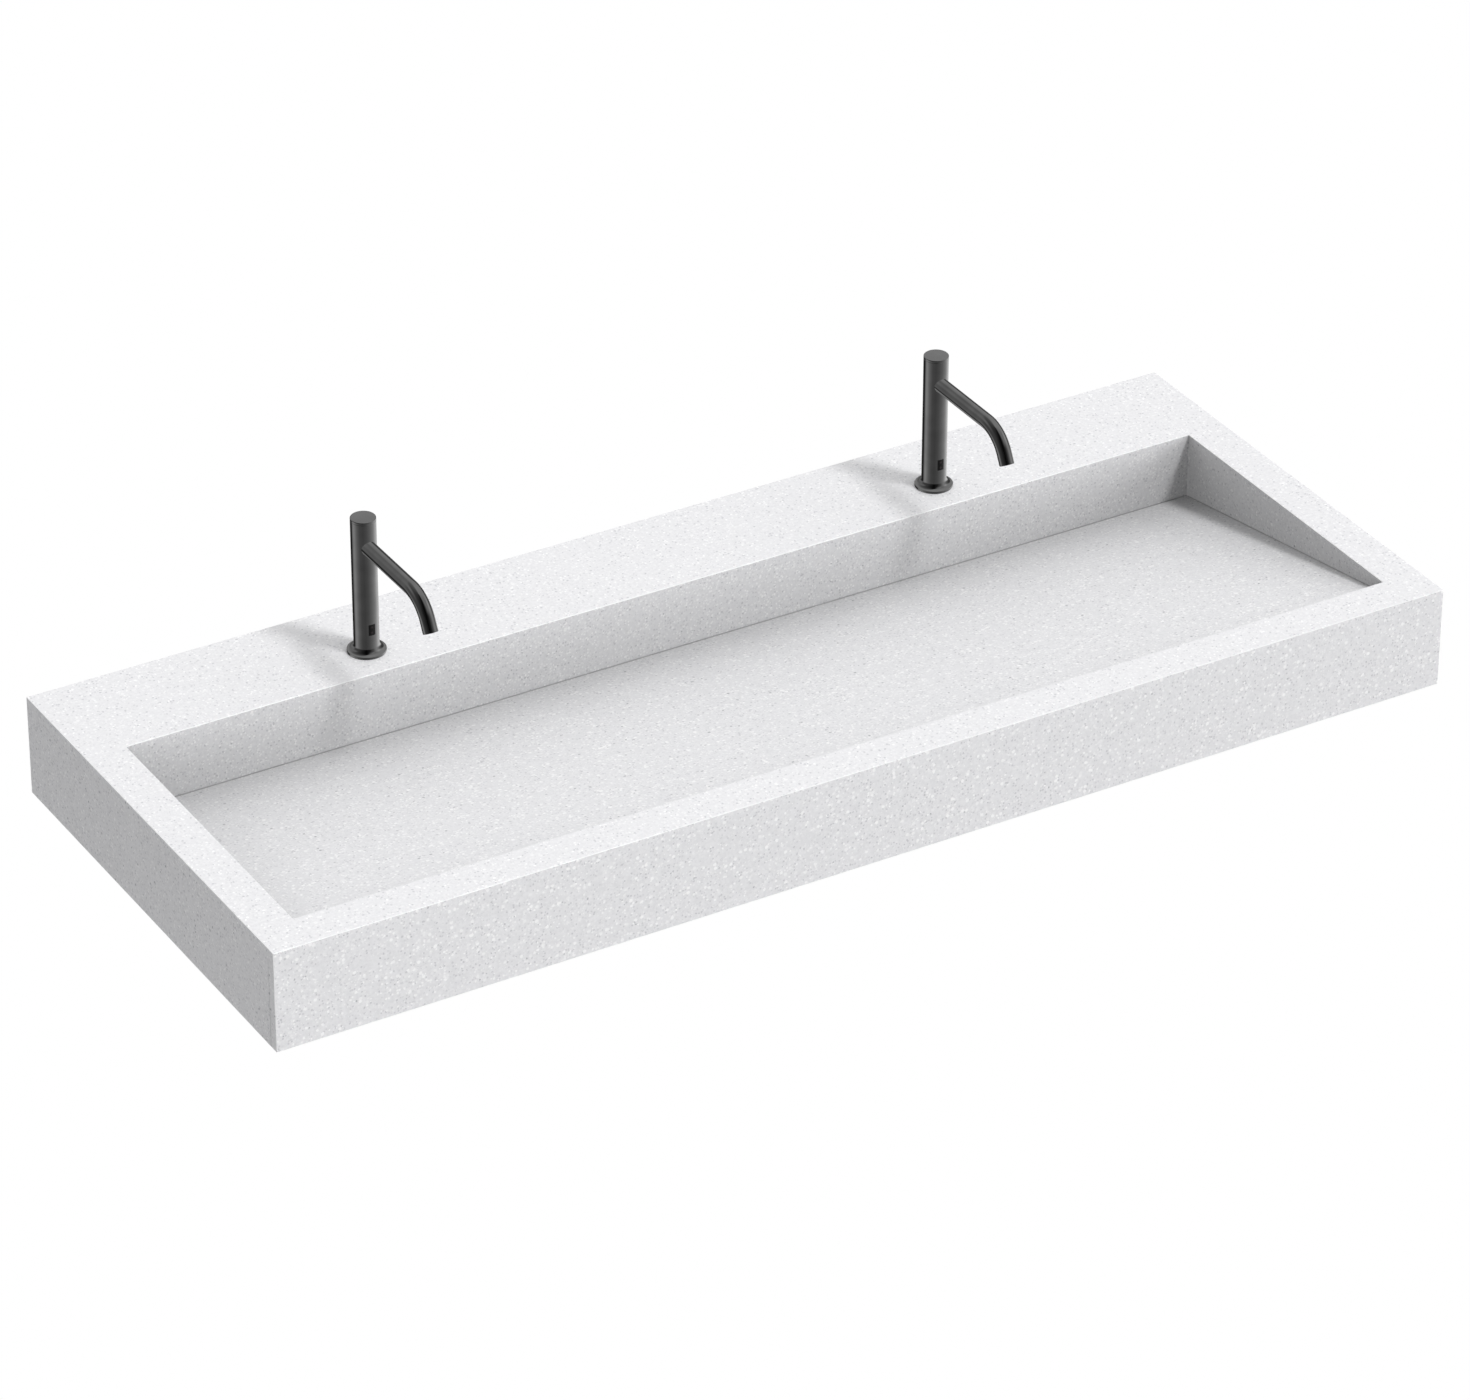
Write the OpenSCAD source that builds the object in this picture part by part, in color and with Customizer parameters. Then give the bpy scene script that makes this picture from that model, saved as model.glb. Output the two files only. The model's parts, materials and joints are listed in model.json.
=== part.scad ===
// Wall-hung trough sink for two people, with a lift-out ramp and two touch-free faucets.
// Millimetres. +X runs to the right along the wall, +Y into the wall, +Z up.
// The origin is the middle of the deck's top rear edge, where it meets the wall.
// The bowl is sheets of solid surface, butt-jointed and glued, with the deck sheet on top.

/* [Sink] */
// Width of the sink along the wall
sink_w = 1524; // [1300:0.1:1800]
// Depth of the sink, from the wall to the front apron's face
sink_d = 609.6; // [540:0.1:700]
// Height of the aprons, from the rim down
apron_h = 127; // [115:0.1:160]
// Thickness of the solid-surface sheet
sheet_t = 12.7; // [11:0.1:14]
// Width of the rim at each side of the basin
side_rim = 50.8; // [46:0.1:70]
// Width of the rim in front of the basin
front_rim = 50.8; // [46:0.1:70]
// Depth of the deck behind the basin
rear_deck = 152.4; // [140:0.1:180]

/* [Ramp] */
// Gap between the ramp and the basin at the front and at the sides
ramp_gap = 1.5; // [1:0.1:3]
// Slot behind the ramp that the water runs into
drain_slot = 3; // [2:0.1:6]
// How far the ramp's front edge lies below the underside of the deck
ramp_step = 0.5; // [0:0.1:5]
// Height of the ramp's top above the basin floor, at the slot
ramp_back_h = 31.9; // [27:0.1:40]
// Number of ribs under the ramp
rib_count = 4; // [2:2:6]
// Thickness of a rib
rib_t = 12.7; // [9:0.1:16]
// How far the ribs stop short of the ramp's front and back edges
rib_inset = 12; // [8:0.5:20]
// Diameter of the soft pads that the ribs stand on
bumper_d = 10; // [8:0.5:12]
// Thickness of those pads
bumper_t = 3; // [2:0.5:4]
// Distance from a rib's end to the middle of its pad
bumper_inset = 6; // [6:0.5:20]

/* [Drain] */
// Distance from the basin's back wall to the drain's axis
drain_setback = 60; // [45:0.5:120]
// Diameter of the drain's flange
drain_flange_d = 63; // [58:0.5:70]
// Thickness of the drain's flange, let into the basin floor
drain_flange_t = 3; // [2:0.1:4]
// Outside diameter of the drain's threaded body
drain_body_d = 42; // [40:0.1:46]
// Length of the drain's body below its flange
drain_body_l = 62; // [55:0.5:80]
// Bore of the drain's body
drain_bore_d = 30; // [26:0.1:31]
// Thickness of the strainer plate
strainer_t = 2; // [1.5:0.1:3]
// Diameter of the strainer plate
strainer_d = 34; // [32:0.1:36]
// Diameter of a hole in the strainer
strainer_hole_d = 4; // [3:0.1:4.5]
// Thickness of the rubber gasket under the basin floor
drain_gasket_t = 4; // [3:0.1:6]
// Thickness of the friction washer under the gasket
drain_washer_t = 1.5; // [1:0.1:2.5]
// Diameter of that washer
drain_washer_d = 61; // [56:0.5:66]
// Width across the corners of the drain's lock nut
drain_nut_d = 64; // [58:0.5:72]
// Height of the drain's lock nut
drain_nut_h = 9; // [7:0.5:12]
// Outside diameter of the tailpiece
tailpiece_d = 31.75; // [31:0.05:33]
// Wall of the tailpiece
tailpiece_wall = 1.3; // [1:0.1:2]
// Length of the tailpiece that shows below the drain's body
tailpiece_l = 90; // [60:1:150]
// Diameter of the tailpiece's threaded end
tailpiece_thread_d = 31.2; // [30.6:0.05:31.4]
// How far the tailpiece goes into the drain's body
tailpiece_socket = 15; // [10:0.5:20]

/* [Support] */
// Thickness of the steel of the brackets
bracket_t = 6; // [5:0.1:8]
// Gap between a bracket and the sheets at both sides of it
bracket_gap = 2; // [1:0.1:3]
// Height of a bracket's arm at its front end
bracket_tip_h = 45; // [35:1:60]
// How far the brackets stay above the bottom of the aprons
bracket_rise = 6; // [3:0.5:12]
// Distance from the sink's side to its wall bolts
wall_bolt_inset = 76.2; // [70:0.1:85]
// Height between the two wall bolts of a bracket
wall_bolt_pitch = 50.8; // [44:0.1:60]
// Depth of the middle of each pair of wall bolts below the rim
wall_bolt_depth = 70; // [60:0.5:80]
// Diameter of the wall bolts' holes
wall_bolt_d = 11; // [9:0.1:13]
// Length of each leg of the wall rail's angle
rail_leg = 38; // [32:0.5:42]
// Thickness of the wall rail
rail_t = 4; // [3:0.1:5]
// Gap between each end of the wall rail and the bracket beside it
rail_end_gap = 12; // [6:0.5:30]
// Distance between the two inner bolts of the wall rail
rail_bolt_inner = 406.4; // [350:0.1:450]
// Distance from each end of the wall rail to its outer bolt
rail_bolt_end = 24.1; // [15:0.1:60]
// Diameter of the wall rail's bolt holes
rail_bolt_d = 9; // [7:0.1:11]
// Thickness of the plywood backer under the deck
backer_t = 18; // [15:0.1:22]
// Gap between the backer and the wall rail
backer_gap = 6; // [3:0.5:12]
// Number of deck screws along the wall rail
rail_screw_count = 5; // [3:1:7]
// Distance from the rail's end to its first deck screw
rail_screw_end = 133.7; // [40:0.1:150]
// Number of deck screws along each bracket
arm_screw_count = 3; // [2:1:4]
// Distance from the wall to the first deck screw of each bracket
arm_screw_start = 60; // [45:1:90]
// Distance from the bracket's front end to its last deck screw
arm_screw_end = 33.5; // [20:0.5:60]

/* [Deck screws] */
// Diameter of a deck screw's shank
screw_d = 5; // [4:0.1:6]
// Diameter of a deck screw's head
screw_head_d = 9; // [8:0.1:11]
// Height of a deck screw's head
screw_head_h = 2.6; // [2:0.1:4]
// Outside diameter of the brass insert that takes the screw
insert_d = 8; // [7.5:0.1:9]
// Depth of the insert in the deck
insert_l = 9; // [7:0.1:10]
// How far a deck screw ends below the insert's top
screw_tip_gap = 1; // [0.5:0.1:2]

/* [Faucets] */
// Distance between the two faucets
faucet_pitch = 762; // [600:0.1:900]
// Distance from a faucet's axis to the basin's back edge
faucet_setback = 50.8; // [46:0.1:62]
// Diameter of the hole for a faucet in the deck
deck_hole_d = 32; // [29:0.1:35]
// Diameter of a faucet's body
faucet_d = 30; // [28:0.1:34]
// Height of a faucet above the deck
faucet_h = 175; // [160:0.5:220]
// Wall of a faucet's body
faucet_wall = 2.5; // [2:0.1:3]
// Diameter of the foot flange
flange_d = 46; // [44:0.1:54]
// Thickness of the foot flange at its edge
flange_t = 3; // [1.6:0.1:4]
// Radius of the hollow curve from the flange into the body
flare_r = 7; // [4:0.1:7]
// Thickness of the cap's top disc
cap_t = 3; // [2.5:0.1:5]
// How far the cap's plug goes into the body
cap_plug_l = 4; // [2:0.5:6]
// Bevel round the cap's top edge
cap_bevel = 0.8; // [0.4:0.1:1.5]
// Thickness of the gasket let into the flange
base_gasket_t = 1; // [0.6:0.1:1.2]

/* [Spout] */
// Diameter of the spout's tube
spout_d = 18; // [16:0.1:19]
// Wall of the spout's tube
spout_wall = 1.5; // [1.2:0.1:2]
// How far the spout's axis lies below the faucet's top
spout_drop = 34.5; // [30:0.5:45]
// Straight length of the spout, from the faucet's axis to the bend
spout_run = 112.4; // [90:0.1:140]
// Radius of the spout's bend
spout_bend_r = 45; // [35:0.5:60]
// Angle that the spout bends down through
spout_bend = 62; // [45:1:80]
// Length of the spout's straight tip, after the bend
spout_tip = 14; // [10:0.5:25]
// Length of the perforated plug in the spout's tip
aerator_l = 6; // [4:0.5:8]
// How far the plug sits inside the outlet
aerator_recess = 1; // [0.5:0.1:1.5]
// Diameter of a hole in the plug
aerator_hole_d = 1.6; // [1.2:0.1:1.8]
// Height of the block that holds the spout inside the body
holder_h = 32; // [28:0.5:34]
// How far the spout's root goes past the faucet's axis
spout_root = 2; // [0:0.1:4]
// Free space behind the spout's end
root_space = 2; // [1:0.1:4]
// Thickness of the seal round the spout's root
spout_seal_t = 1.9; // [1.6:0.1:2.1]
// Play of the seal along its groove
seal_play = 0.6; // [0.3:0.1:1]

/* [Sensor] */
// Width of the sensor's window
window_w = 8.5; // [6:0.1:9]
// Height of the sensor's window
window_h = 14.5; // [12:0.1:18]
// Corner radius of the sensor's window
window_r = 1.2; // [1:0.1:2.5]
// Height of the middle of the window above the deck
window_z = 34; // [30:0.5:44]
// Width of the sensor's electronics
sensor_w = 11; // [9:0.1:11.5]
// Depth of the sensor's electronics
sensor_t = 6; // [5:0.1:7]
// Height of the sensor's electronics
sensor_h = 28; // [24:0.5:36]
// Diameter of the emitter and of the receiver
eye_d = 4; // [3:0.1:5]

/* [Below the deck] */
// Outside diameter of the pipe that carries water up to the spout
riser_d = 9; // [8:0.1:9.5]
// Wall of that pipe
riser_wall = 1.2; // [1:0.1:1.5]
// How far that pipe goes into the shank and into the spout's holder
riser_socket = 5; // [3:0.5:5]
// How far that pipe stands behind the faucet's axis
riser_offset = 5.5; // [4.5:0.1:6.5]
// How far the threaded shank reaches up into the body
shank_top = 16; // [14:0.5:18]
// Thickness of the shank's closed top
shank_cover = 6; // [5.5:0.5:8]
// How far the shank reaches below the deck's top
shank_l = 61; // [56:0.5:80]
// Bore of the shank
shank_bore_d = 18; // [15:0.1:19]
// Diameter of the clamp washer
clamp_d = 52; // [46:0.5:56]
// Thickness of the clamp washer
clamp_t = 3; // [2:0.1:4]
// Width across the corners of the lock nut
nut_d = 40; // [36:0.5:46]
// Height of the lock nut
nut_h = 8; // [6:0.5:10]
// Side of the square valve block
valve_w = 36; // [33:0.5:42]
// Height of the valve block
valve_h = 40; // [36:0.5:50]
// How far the shank goes into the valve block
valve_socket = 8; // [6:0.5:10]
// Depth of the free space under the shank's end
valve_plenum = 3; // [2:0.5:6]
// Outside diameter of the supply inlet under the valve
inlet_d = 14.3; // [12:0.1:16]
// Bore of the supply inlet
inlet_bore_d = 9; // [7:0.1:10]
// Length of the supply inlet
inlet_l = 14; // [10:0.5:25]
// Diameter of the valve's seat
seat_d = 4; // [3:0.1:5]
// Distance from the inlet's bore to the valve's seat
seat_wall = 2; // [1.5:0.1:3]
// Diameter of the channel from the valve up to the shank
outlet_d = 4; // [3:0.1:4.4]
// Distance from that channel to the side of the shank's socket
outlet_wall = 1.5; // [1:0.1:2]
// Diameter of the coil
coil_d = 26; // [22:0.5:30]
// Length of the coil
coil_l = 29; // [26:0.5:40]
// Thickness of the coil's closed end
coil_end = 3; // [2:0.1:5]
// Side of the coil's square terminal
terminal_w = 12; // [8:0.5:16]
// How far the terminal stands up from the coil
terminal_h = 5; // [3:0.5:8]
// Diameter of the plunger
plunger_d = 10; // [8:0.1:11]
// Length of the plunger behind its nose
plunger_l = 22; // [20:0.5:24]
// Diameter of the plunger's nose
nose_d = 6; // [5:0.1:7]
// Length of the plunger's nose
nose_l = 9.5; // [9:0.1:11]
// Diameter of the spring's wire
spring_wire = 0.6; // [0.4:0.1:0.8]
// Outside diameter of the spring
spring_d = 5.6; // [5:0.1:7]
// Depth of the spring's pocket in the plunger
spring_pocket = 6; // [4:0.5:8]
// Width of the control module
control_w = 140; // [100:1:180]
// Depth of the control module
control_d = 58; // [45:1:62]
// Height of the control module
control_h = 36; // [25:1:50]
// Diameter of the cable inlets of the control module
cable_inlet_d = 7; // [5:0.1:9]
// Depth of those inlets
cable_inlet_l = 10; // [6:0.5:16]

/* [Clearances] */
// Radial gap of a threaded or pushed-in joint
fit_gap = 0.1; // [0.05:0.01:0.15]
// Radial gap where a fastener or pipe passes through freely
pass_gap = 0.6; // [0.3:0.1:1]
// Radial gap round the moving plunger
plunger_gap = 0.3; // [0.2:0.05:0.5]

/* [Hidden] */
$fn = 96;

STONE = [0.94, 0.94, 0.94];
GRAPHITE = [0.24, 0.24, 0.25];
STEEL = [0.62, 0.63, 0.65];
GALVANISED = [0.55, 0.57, 0.60];
BRASS = [0.78, 0.62, 0.30];
RUBBER = [0.10, 0.10, 0.10];
PLYWOOD = [0.76, 0.60, 0.40];
LENS = [0.03, 0.03, 0.04];
PLASTIC = [0.16, 0.17, 0.19];
COPPER = [0.55, 0.30, 0.16];

LEFT = -1;
RIGHT = 1;
CUT = 1;      // how far a cutter runs past the face it opens

// Sheets of the bowl
half_w = sink_w / 2;
deck_z = -sheet_t;
bottom_z = -apron_h;
floor_z = bottom_z + sheet_t;
open_x = half_w - side_rim;
open_y0 = front_rim - sink_d;
open_y1 = -rear_deck;
basin_x = open_x + sheet_t;
basin_y0 = open_y0 - sheet_t;
basin_y1 = open_y1 + sheet_t;

// Ramp, measured plumb, from its front edge (0) to the slot (1)
ramp_x = open_x - ramp_gap;
ramp_y0 = open_y0 + ramp_gap;
ramp_y1 = open_y1 - drain_slot;
ramp_z0 = deck_z - ramp_step;
ramp_z1 = floor_z + ramp_back_h;
ramp_fall = (ramp_z0 - ramp_z1) / (ramp_y1 - ramp_y0);
ramp_plumb_t = sheet_t / cos(atan(ramp_fall));
function ramp_top(y) = ramp_z0 - ramp_fall * (y - ramp_y0);
function ramp_under(y) = ramp_top(y) - ramp_plumb_t;
rib_y0 = ramp_y0 + rib_inset;
rib_y1 = ramp_y1 - rib_inset;
rib_pitch = 2 * open_x / rib_count;
function rib_x(i) = (i - (rib_count - 1) / 2) * rib_pitch;

// Drain
drain_y = open_y1 - drain_setback;
drain_end_z = floor_z - drain_flange_t - drain_body_l;
gasket_z = bottom_z - drain_gasket_t;
washer_z = gasket_z - drain_washer_t;

// Brackets and rail
arm_x = basin_x + bracket_gap;
arm_front_y = basin_y0 - bracket_gap;
arm_low_z = bottom_z + bracket_rise;
lip_x1 = half_w - sheet_t - bracket_gap;
lip_z = deck_z - bracket_t;
lip_screw_x = (arm_x + bracket_t + lip_x1) / 2;
wall_bolt_x = half_w - wall_bolt_inset;
plate_x = 2 * wall_bolt_x - arm_x;
rail_x = plate_x - rail_end_gap;
rail_screw_y = -(rail_leg + rail_t) / 2;
rail_bolt_z = deck_z - (rail_leg + rail_t) / 2;
backer_y1 = -rail_leg - backer_gap;
backer_z = deck_z - backer_t;

// Faucets
faucet_x = faucet_pitch / 2;
faucet_y = open_y1 + faucet_setback;
body_r = faucet_d / 2;
bore_r = body_r - faucet_wall;
core_r = bore_r - fit_gap;
body_top = faucet_h - cap_t;
spout_z = faucet_h - spout_drop;
spout_r = spout_d / 2;
holder_z0 = spout_z - holder_h / 2;
groove_r = spout_r + fit_gap + spout_seal_t;
gasket_r = flange_d / 2 - flange_t;
riser_r = riser_d / 2;
riser_z0 = shank_top - riser_socket;
riser_z1 = holder_z0 + riser_socket;
sensor_y = -sqrt(core_r * core_r - sensor_w * sensor_w / 4);
eye_pitch = window_h / 2;

// Valve, measured from the faucet's axis
clamp_z = backer_z - clamp_t;
nut_z = clamp_z - nut_h;
valve_top = valve_socket - shank_l;
plenum_z = -shank_l - valve_plenum;
valve_z = valve_top - valve_h;
plunger_z = valve_z + 0.4 * valve_h;
chamber_r = plunger_d / 2 + plunger_gap;
seat_y = inlet_bore_d / 2 + seat_wall;
outlet_y = bore_r - outlet_wall - outlet_d / 2;
nose_y1 = seat_y + nose_l;
plunger_y1 = nose_y1 + plunger_l;
coil_y0 = valve_w / 2;
coil_y1 = coil_y0 + coil_l;
spring_y0 = plunger_y1 - spring_pocket;
spring_y1 = coil_y1 - coil_end;
spring_r = (spring_d - spring_wire) / 2;
SPRING_TURNS = 6;
SPRING_STEPS = 12;
SPRING_SIDES = 6;

// A box between two opposite corners
module block(low, high) {
    translate(low) cube(high - low);
}

// An outline in the YZ plane, pulled along X from x0 to x1
module side_slab(outline, x0, x1) {
    translate([x0, 0, 0]) rotate([90, 0, 90]) linear_extrude(x1 - x0) polygon(outline);
}

// A ring that stands on z = 0
module ring(outer_r, inner_r, h) {
    difference() {
        cylinder(r = outer_r, h = h);
        translate([0, 0, -CUT]) cylinder(r = inner_r, h = h + 2 * CUT);
    }
}

// A round rod along +Y, from y0 to y1 on the Y axis
module rod_y(r, y0, y1) {
    translate([0, y0, 0]) rotate([-90, 0, 0]) cylinder(r = r, h = y1 - y0);
}

// A flat rectangle with round corners, centred
module rounded_rectangle(w, h, r) {
    union() {
        square([w - 2 * r, h], center = true);
        square([w, h - 2 * r], center = true);
        for (x = [-1, 1], y = [-1, 1])
            translate([x * (w / 2 - r), y * (h / 2 - r)]) circle(r = r);
    }
}

// Puts a child on the left or the right faucet's axis, at the deck's top
module at_faucet(side) {
    translate([side * faucet_x, faucet_y, 0]) children();
}

// Mirrors a child that is drawn for the right side
module on_side(side) {
    if (side == LEFT) mirror([1, 0, 0]) children();
    else children();
}

// ---- Bowl ----

// Where each deck screw stands: along the rail, then along each bracket
rail_screw_x = rail_x - rail_screw_end;
rail_screws = [for (i = [0 : rail_screw_count - 1])
    [rail_screw_x * (2 * i / (rail_screw_count - 1) - 1), rail_screw_y, deck_z - rail_t]];
arm_screw_pitch = (-arm_front_y - arm_screw_start - arm_screw_end) / (arm_screw_count - 1);
arm_screws = [for (side = [LEFT, RIGHT], i = [0 : arm_screw_count - 1])
    [side * lip_screw_x, -arm_screw_start - i * arm_screw_pitch, lip_z]];

module deck() {
    color(STONE) difference() {
        block([-half_w, -sink_d, deck_z], [half_w, 0, 0]);
        block([-open_x, open_y0, deck_z - CUT], [open_x, open_y1, CUT]);
        for (side = [LEFT, RIGHT]) at_faucet(side)
            translate([0, 0, deck_z - CUT]) cylinder(d = deck_hole_d, h = sheet_t + 2 * CUT);
        for (p = concat(rail_screws, arm_screws))
            translate([p.x, p.y, deck_z - CUT])
                cylinder(d = insert_d + 2 * fit_gap, h = insert_l + CUT);
    }
}

module front_apron() {
    color(STONE) block([-half_w, -sink_d, bottom_z], [half_w, sheet_t - sink_d, deck_z]);
}

module side_apron(side) {
    color(STONE) on_side(side)
        block([half_w - sheet_t, sheet_t - sink_d, bottom_z], [half_w, 0, deck_z]);
}

module basin_back_wall() {
    color(STONE) block([-basin_x, open_y1, floor_z], [basin_x, basin_y1, deck_z]);
}

module basin_front_wall() {
    color(STONE) block([-basin_x, basin_y0, floor_z], [basin_x, open_y0, deck_z]);
}

module basin_side_wall(side) {
    color(STONE) on_side(side) block([open_x, open_y0, floor_z], [basin_x, open_y1, deck_z]);
}

// The drain's flange is let into the floor, flush with its top
module basin_floor() {
    color(STONE) difference() {
        block([-basin_x, basin_y0, bottom_z], [basin_x, basin_y1, floor_z]);
        translate([0, drain_y, bottom_z - CUT])
            cylinder(d = drain_body_d + 2 * pass_gap, h = sheet_t + 2 * CUT);
        translate([0, drain_y, floor_z - drain_flange_t])
            cylinder(d = drain_flange_d + 2 * pass_gap, h = drain_flange_t + CUT);
    }
}

// ---- Ramp ----

module ramp_panel() {
    color(STONE) side_slab([
        [ramp_y0, ramp_top(ramp_y0)], [ramp_y1, ramp_top(ramp_y1)],
        [ramp_y1, ramp_under(ramp_y1)], [ramp_y0, ramp_under(ramp_y0)]], -ramp_x, ramp_x);
}

module ramp_ribs() {
    rib_z = floor_z + bumper_t;
    color(STONE) for (i = [0 : rib_count - 1])
        side_slab([[rib_y0, ramp_under(rib_y0)], [rib_y1, ramp_under(rib_y1)],
            [rib_y1, rib_z], [rib_y0, rib_z]], rib_x(i) - rib_t / 2, rib_x(i) + rib_t / 2);
}

module ramp_bumpers() {
    color(RUBBER) for (i = [0 : rib_count - 1],
            y = [rib_y0 + bumper_inset, rib_y1 - bumper_inset])
        translate([rib_x(i), y, floor_z]) cylinder(d = bumper_d, h = bumper_t);
}

// ---- Drain ----

module drain_strainer() {
    ring_r = strainer_d / 4 + strainer_hole_d / 4;
    color(STEEL) translate([0, drain_y, floor_z - strainer_t]) difference() {
        cylinder(r = strainer_d / 2 - fit_gap, h = strainer_t);
        translate([0, 0, -CUT]) cylinder(d = strainer_hole_d, h = strainer_t + 2 * CUT);
        for (a = [0 : 45 : 315]) rotate(a) translate([ring_r, 0, -CUT])
            cylinder(d = strainer_hole_d, h = strainer_t + 2 * CUT);
    }
}

module drain_body() {
    color(STEEL) translate([0, drain_y, 0]) difference() {
        union() {
            translate([0, 0, floor_z - drain_flange_t])
                cylinder(d = drain_flange_d, h = drain_flange_t);
            translate([0, 0, drain_end_z]) cylinder(d = drain_body_d, h = drain_body_l);
        }
        translate([0, 0, drain_end_z - CUT])
            cylinder(d = drain_bore_d, h = drain_body_l + drain_flange_t + 2 * CUT);
        translate([0, 0, floor_z - strainer_t])
            cylinder(d = strainer_d, h = strainer_t + CUT);
        translate([0, 0, drain_end_z - CUT])
            cylinder(d = tailpiece_thread_d + 2 * fit_gap, h = tailpiece_socket + CUT);
    }
}

module drain_gasket() {
    color(RUBBER) translate([0, drain_y, gasket_z])
        ring(drain_flange_d / 2, drain_body_d / 2 + fit_gap, drain_gasket_t);
}

module drain_washer() {
    color(PLASTIC) translate([0, drain_y, washer_z])
        ring(drain_washer_d / 2, drain_body_d / 2 + fit_gap, drain_washer_t);
}

module drain_nut() {
    color(STEEL) translate([0, drain_y, washer_z - drain_nut_h]) difference() {
        cylinder(d = drain_nut_d, h = drain_nut_h, $fn = 8);
        translate([0, 0, -CUT])
            cylinder(d = drain_body_d + 2 * fit_gap, h = drain_nut_h + 2 * CUT);
    }
}

module tailpiece() {
    color(STEEL) translate([0, drain_y, drain_end_z - tailpiece_l]) difference() {
        union() {
            cylinder(d = tailpiece_d, h = tailpiece_l);
            cylinder(d = tailpiece_thread_d, h = tailpiece_l + tailpiece_socket);
        }
        translate([0, 0, -CUT]) cylinder(r = tailpiece_d / 2 - tailpiece_wall,
            h = tailpiece_l + tailpiece_socket + 2 * CUT);
    }
}

// ---- Support ----

// A welded arm: a tapered web on edge, a lip under the deck and a plate on the wall
module bracket(side) {
    web = [[0, deck_z], [0, arm_low_z], [open_y1, arm_low_z],
        [arm_front_y, deck_z - bracket_tip_h], [arm_front_y, deck_z]];
    color(GALVANISED) on_side(side) difference() {
        union() {
            side_slab(web, arm_x, arm_x + bracket_t);
            block([arm_x, arm_front_y, lip_z], [lip_x1, 0, deck_z]);
            block([plate_x, -bracket_t, arm_low_z], [arm_x + bracket_t, 0, deck_z]);
        }
        for (z = [-0.5, 0.5])
            translate([wall_bolt_x, 0, z * wall_bolt_pitch - wall_bolt_depth])
                rod_y(wall_bolt_d / 2, -bracket_t - CUT, CUT);
        for (p = arm_screws) if (p.x > 0) translate([p.x, p.y, lip_z - CUT])
            cylinder(d = screw_d + 2 * pass_gap, h = bracket_t + 2 * CUT);
    }
}

// An angle along the wall that carries the deck's rear edge
module wall_rail() {
    color(GALVANISED) difference() {
        union() {
            block([-rail_x, -rail_leg, deck_z - rail_t], [rail_x, 0, deck_z]);
            block([-rail_x, -rail_t, deck_z - rail_leg], [rail_x, 0, deck_z]);
        }
        for (side = [LEFT, RIGHT], x = [rail_bolt_inner / 2, rail_x - rail_bolt_end])
            translate([side * x, 0, rail_bolt_z])
                rod_y(rail_bolt_d / 2, -rail_t - CUT, CUT);
        for (p = rail_screws) translate([p.x, p.y, deck_z - rail_t - CUT])
            cylinder(d = screw_d + 2 * pass_gap, h = rail_t + 2 * CUT);
    }
}

// The plywood stiffens the deck where the faucets are clamped to it
module faucet_backer() {
    color(PLYWOOD) difference() {
        block([-rail_x, basin_y1, backer_z], [rail_x, backer_y1, deck_z]);
        for (side = [LEFT, RIGHT]) at_faucet(side) translate([0, 0, backer_z - CUT])
            cylinder(d = deck_hole_d, h = backer_t + 2 * CUT);
    }
}

module deck_screws() {
    color(STEEL) for (p = concat(rail_screws, arm_screws)) translate(p) {
        shank_h = deck_z - p.z + insert_l - screw_tip_gap;
        union() {
            translate([0, 0, -screw_head_h]) cylinder(d = screw_head_d, h = screw_head_h);
            cylinder(d = screw_d, h = shank_h);
        }
    }
}

module deck_inserts() {
    color(BRASS) for (p = concat(rail_screws, arm_screws)) translate([p.x, p.y, deck_z])
        ring(insert_d / 2, screw_d / 2 + fit_gap, insert_l);
}

// A sealed brick that drives both valves, with a blind inlet for each of its four cables
module control_module() {
    mid_y = (basin_y1 + backer_y1) / 2;
    color(PLASTIC) translate([0, mid_y, backer_z - control_h]) difference() {
        block([-control_w / 2, -control_d / 2, 0], [control_w / 2, control_d / 2, control_h]);
        for (side = [LEFT, RIGHT], y = [-1, 1])
            translate([side * (control_w / 2 - cable_inlet_l), y * control_d / 5, control_h / 2])
                rotate([0, side * 90, 0]) cylinder(d = cable_inlet_d, h = cable_inlet_l + CUT);
    }
}

// ---- Faucets ----

module faucet_body(side) {
    color(GRAPHITE) at_faucet(side) difference() {
        union() {
            cylinder(r = body_r, h = body_top);
            cylinder(d = flange_d, h = flange_t);
            translate([0, 0, flange_t]) rotate_extrude() difference() {
                square([body_r + flare_r, flare_r]);
                translate([body_r + flare_r, flare_r]) circle(r = flare_r);
            }
        }
        translate([0, 0, -CUT]) cylinder(r = bore_r, h = body_top + 2 * CUT);
        translate([0, 0, -CUT]) cylinder(r = gasket_r, h = base_gasket_t + CUT);
        translate([0, 0, spout_z]) rod_y(spout_r + fit_gap, -body_r - CUT, 0);
        translate([0, 0, window_z]) rotate([90, 0, 0]) linear_extrude(body_r + CUT)
            rounded_rectangle(window_w, window_h, window_r);
    }
}

module faucet_cap(side) {
    color(GRAPHITE) at_faucet(side) union() {
        translate([0, 0, body_top]) cylinder(r = body_r, h = cap_t - cap_bevel);
        translate([0, 0, faucet_h - cap_bevel])
            cylinder(r1 = body_r, r2 = body_r - cap_bevel, h = cap_bevel);
        translate([0, 0, body_top - cap_plug_l]) cylinder(r = core_r, h = cap_plug_l);
    }
}

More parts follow.
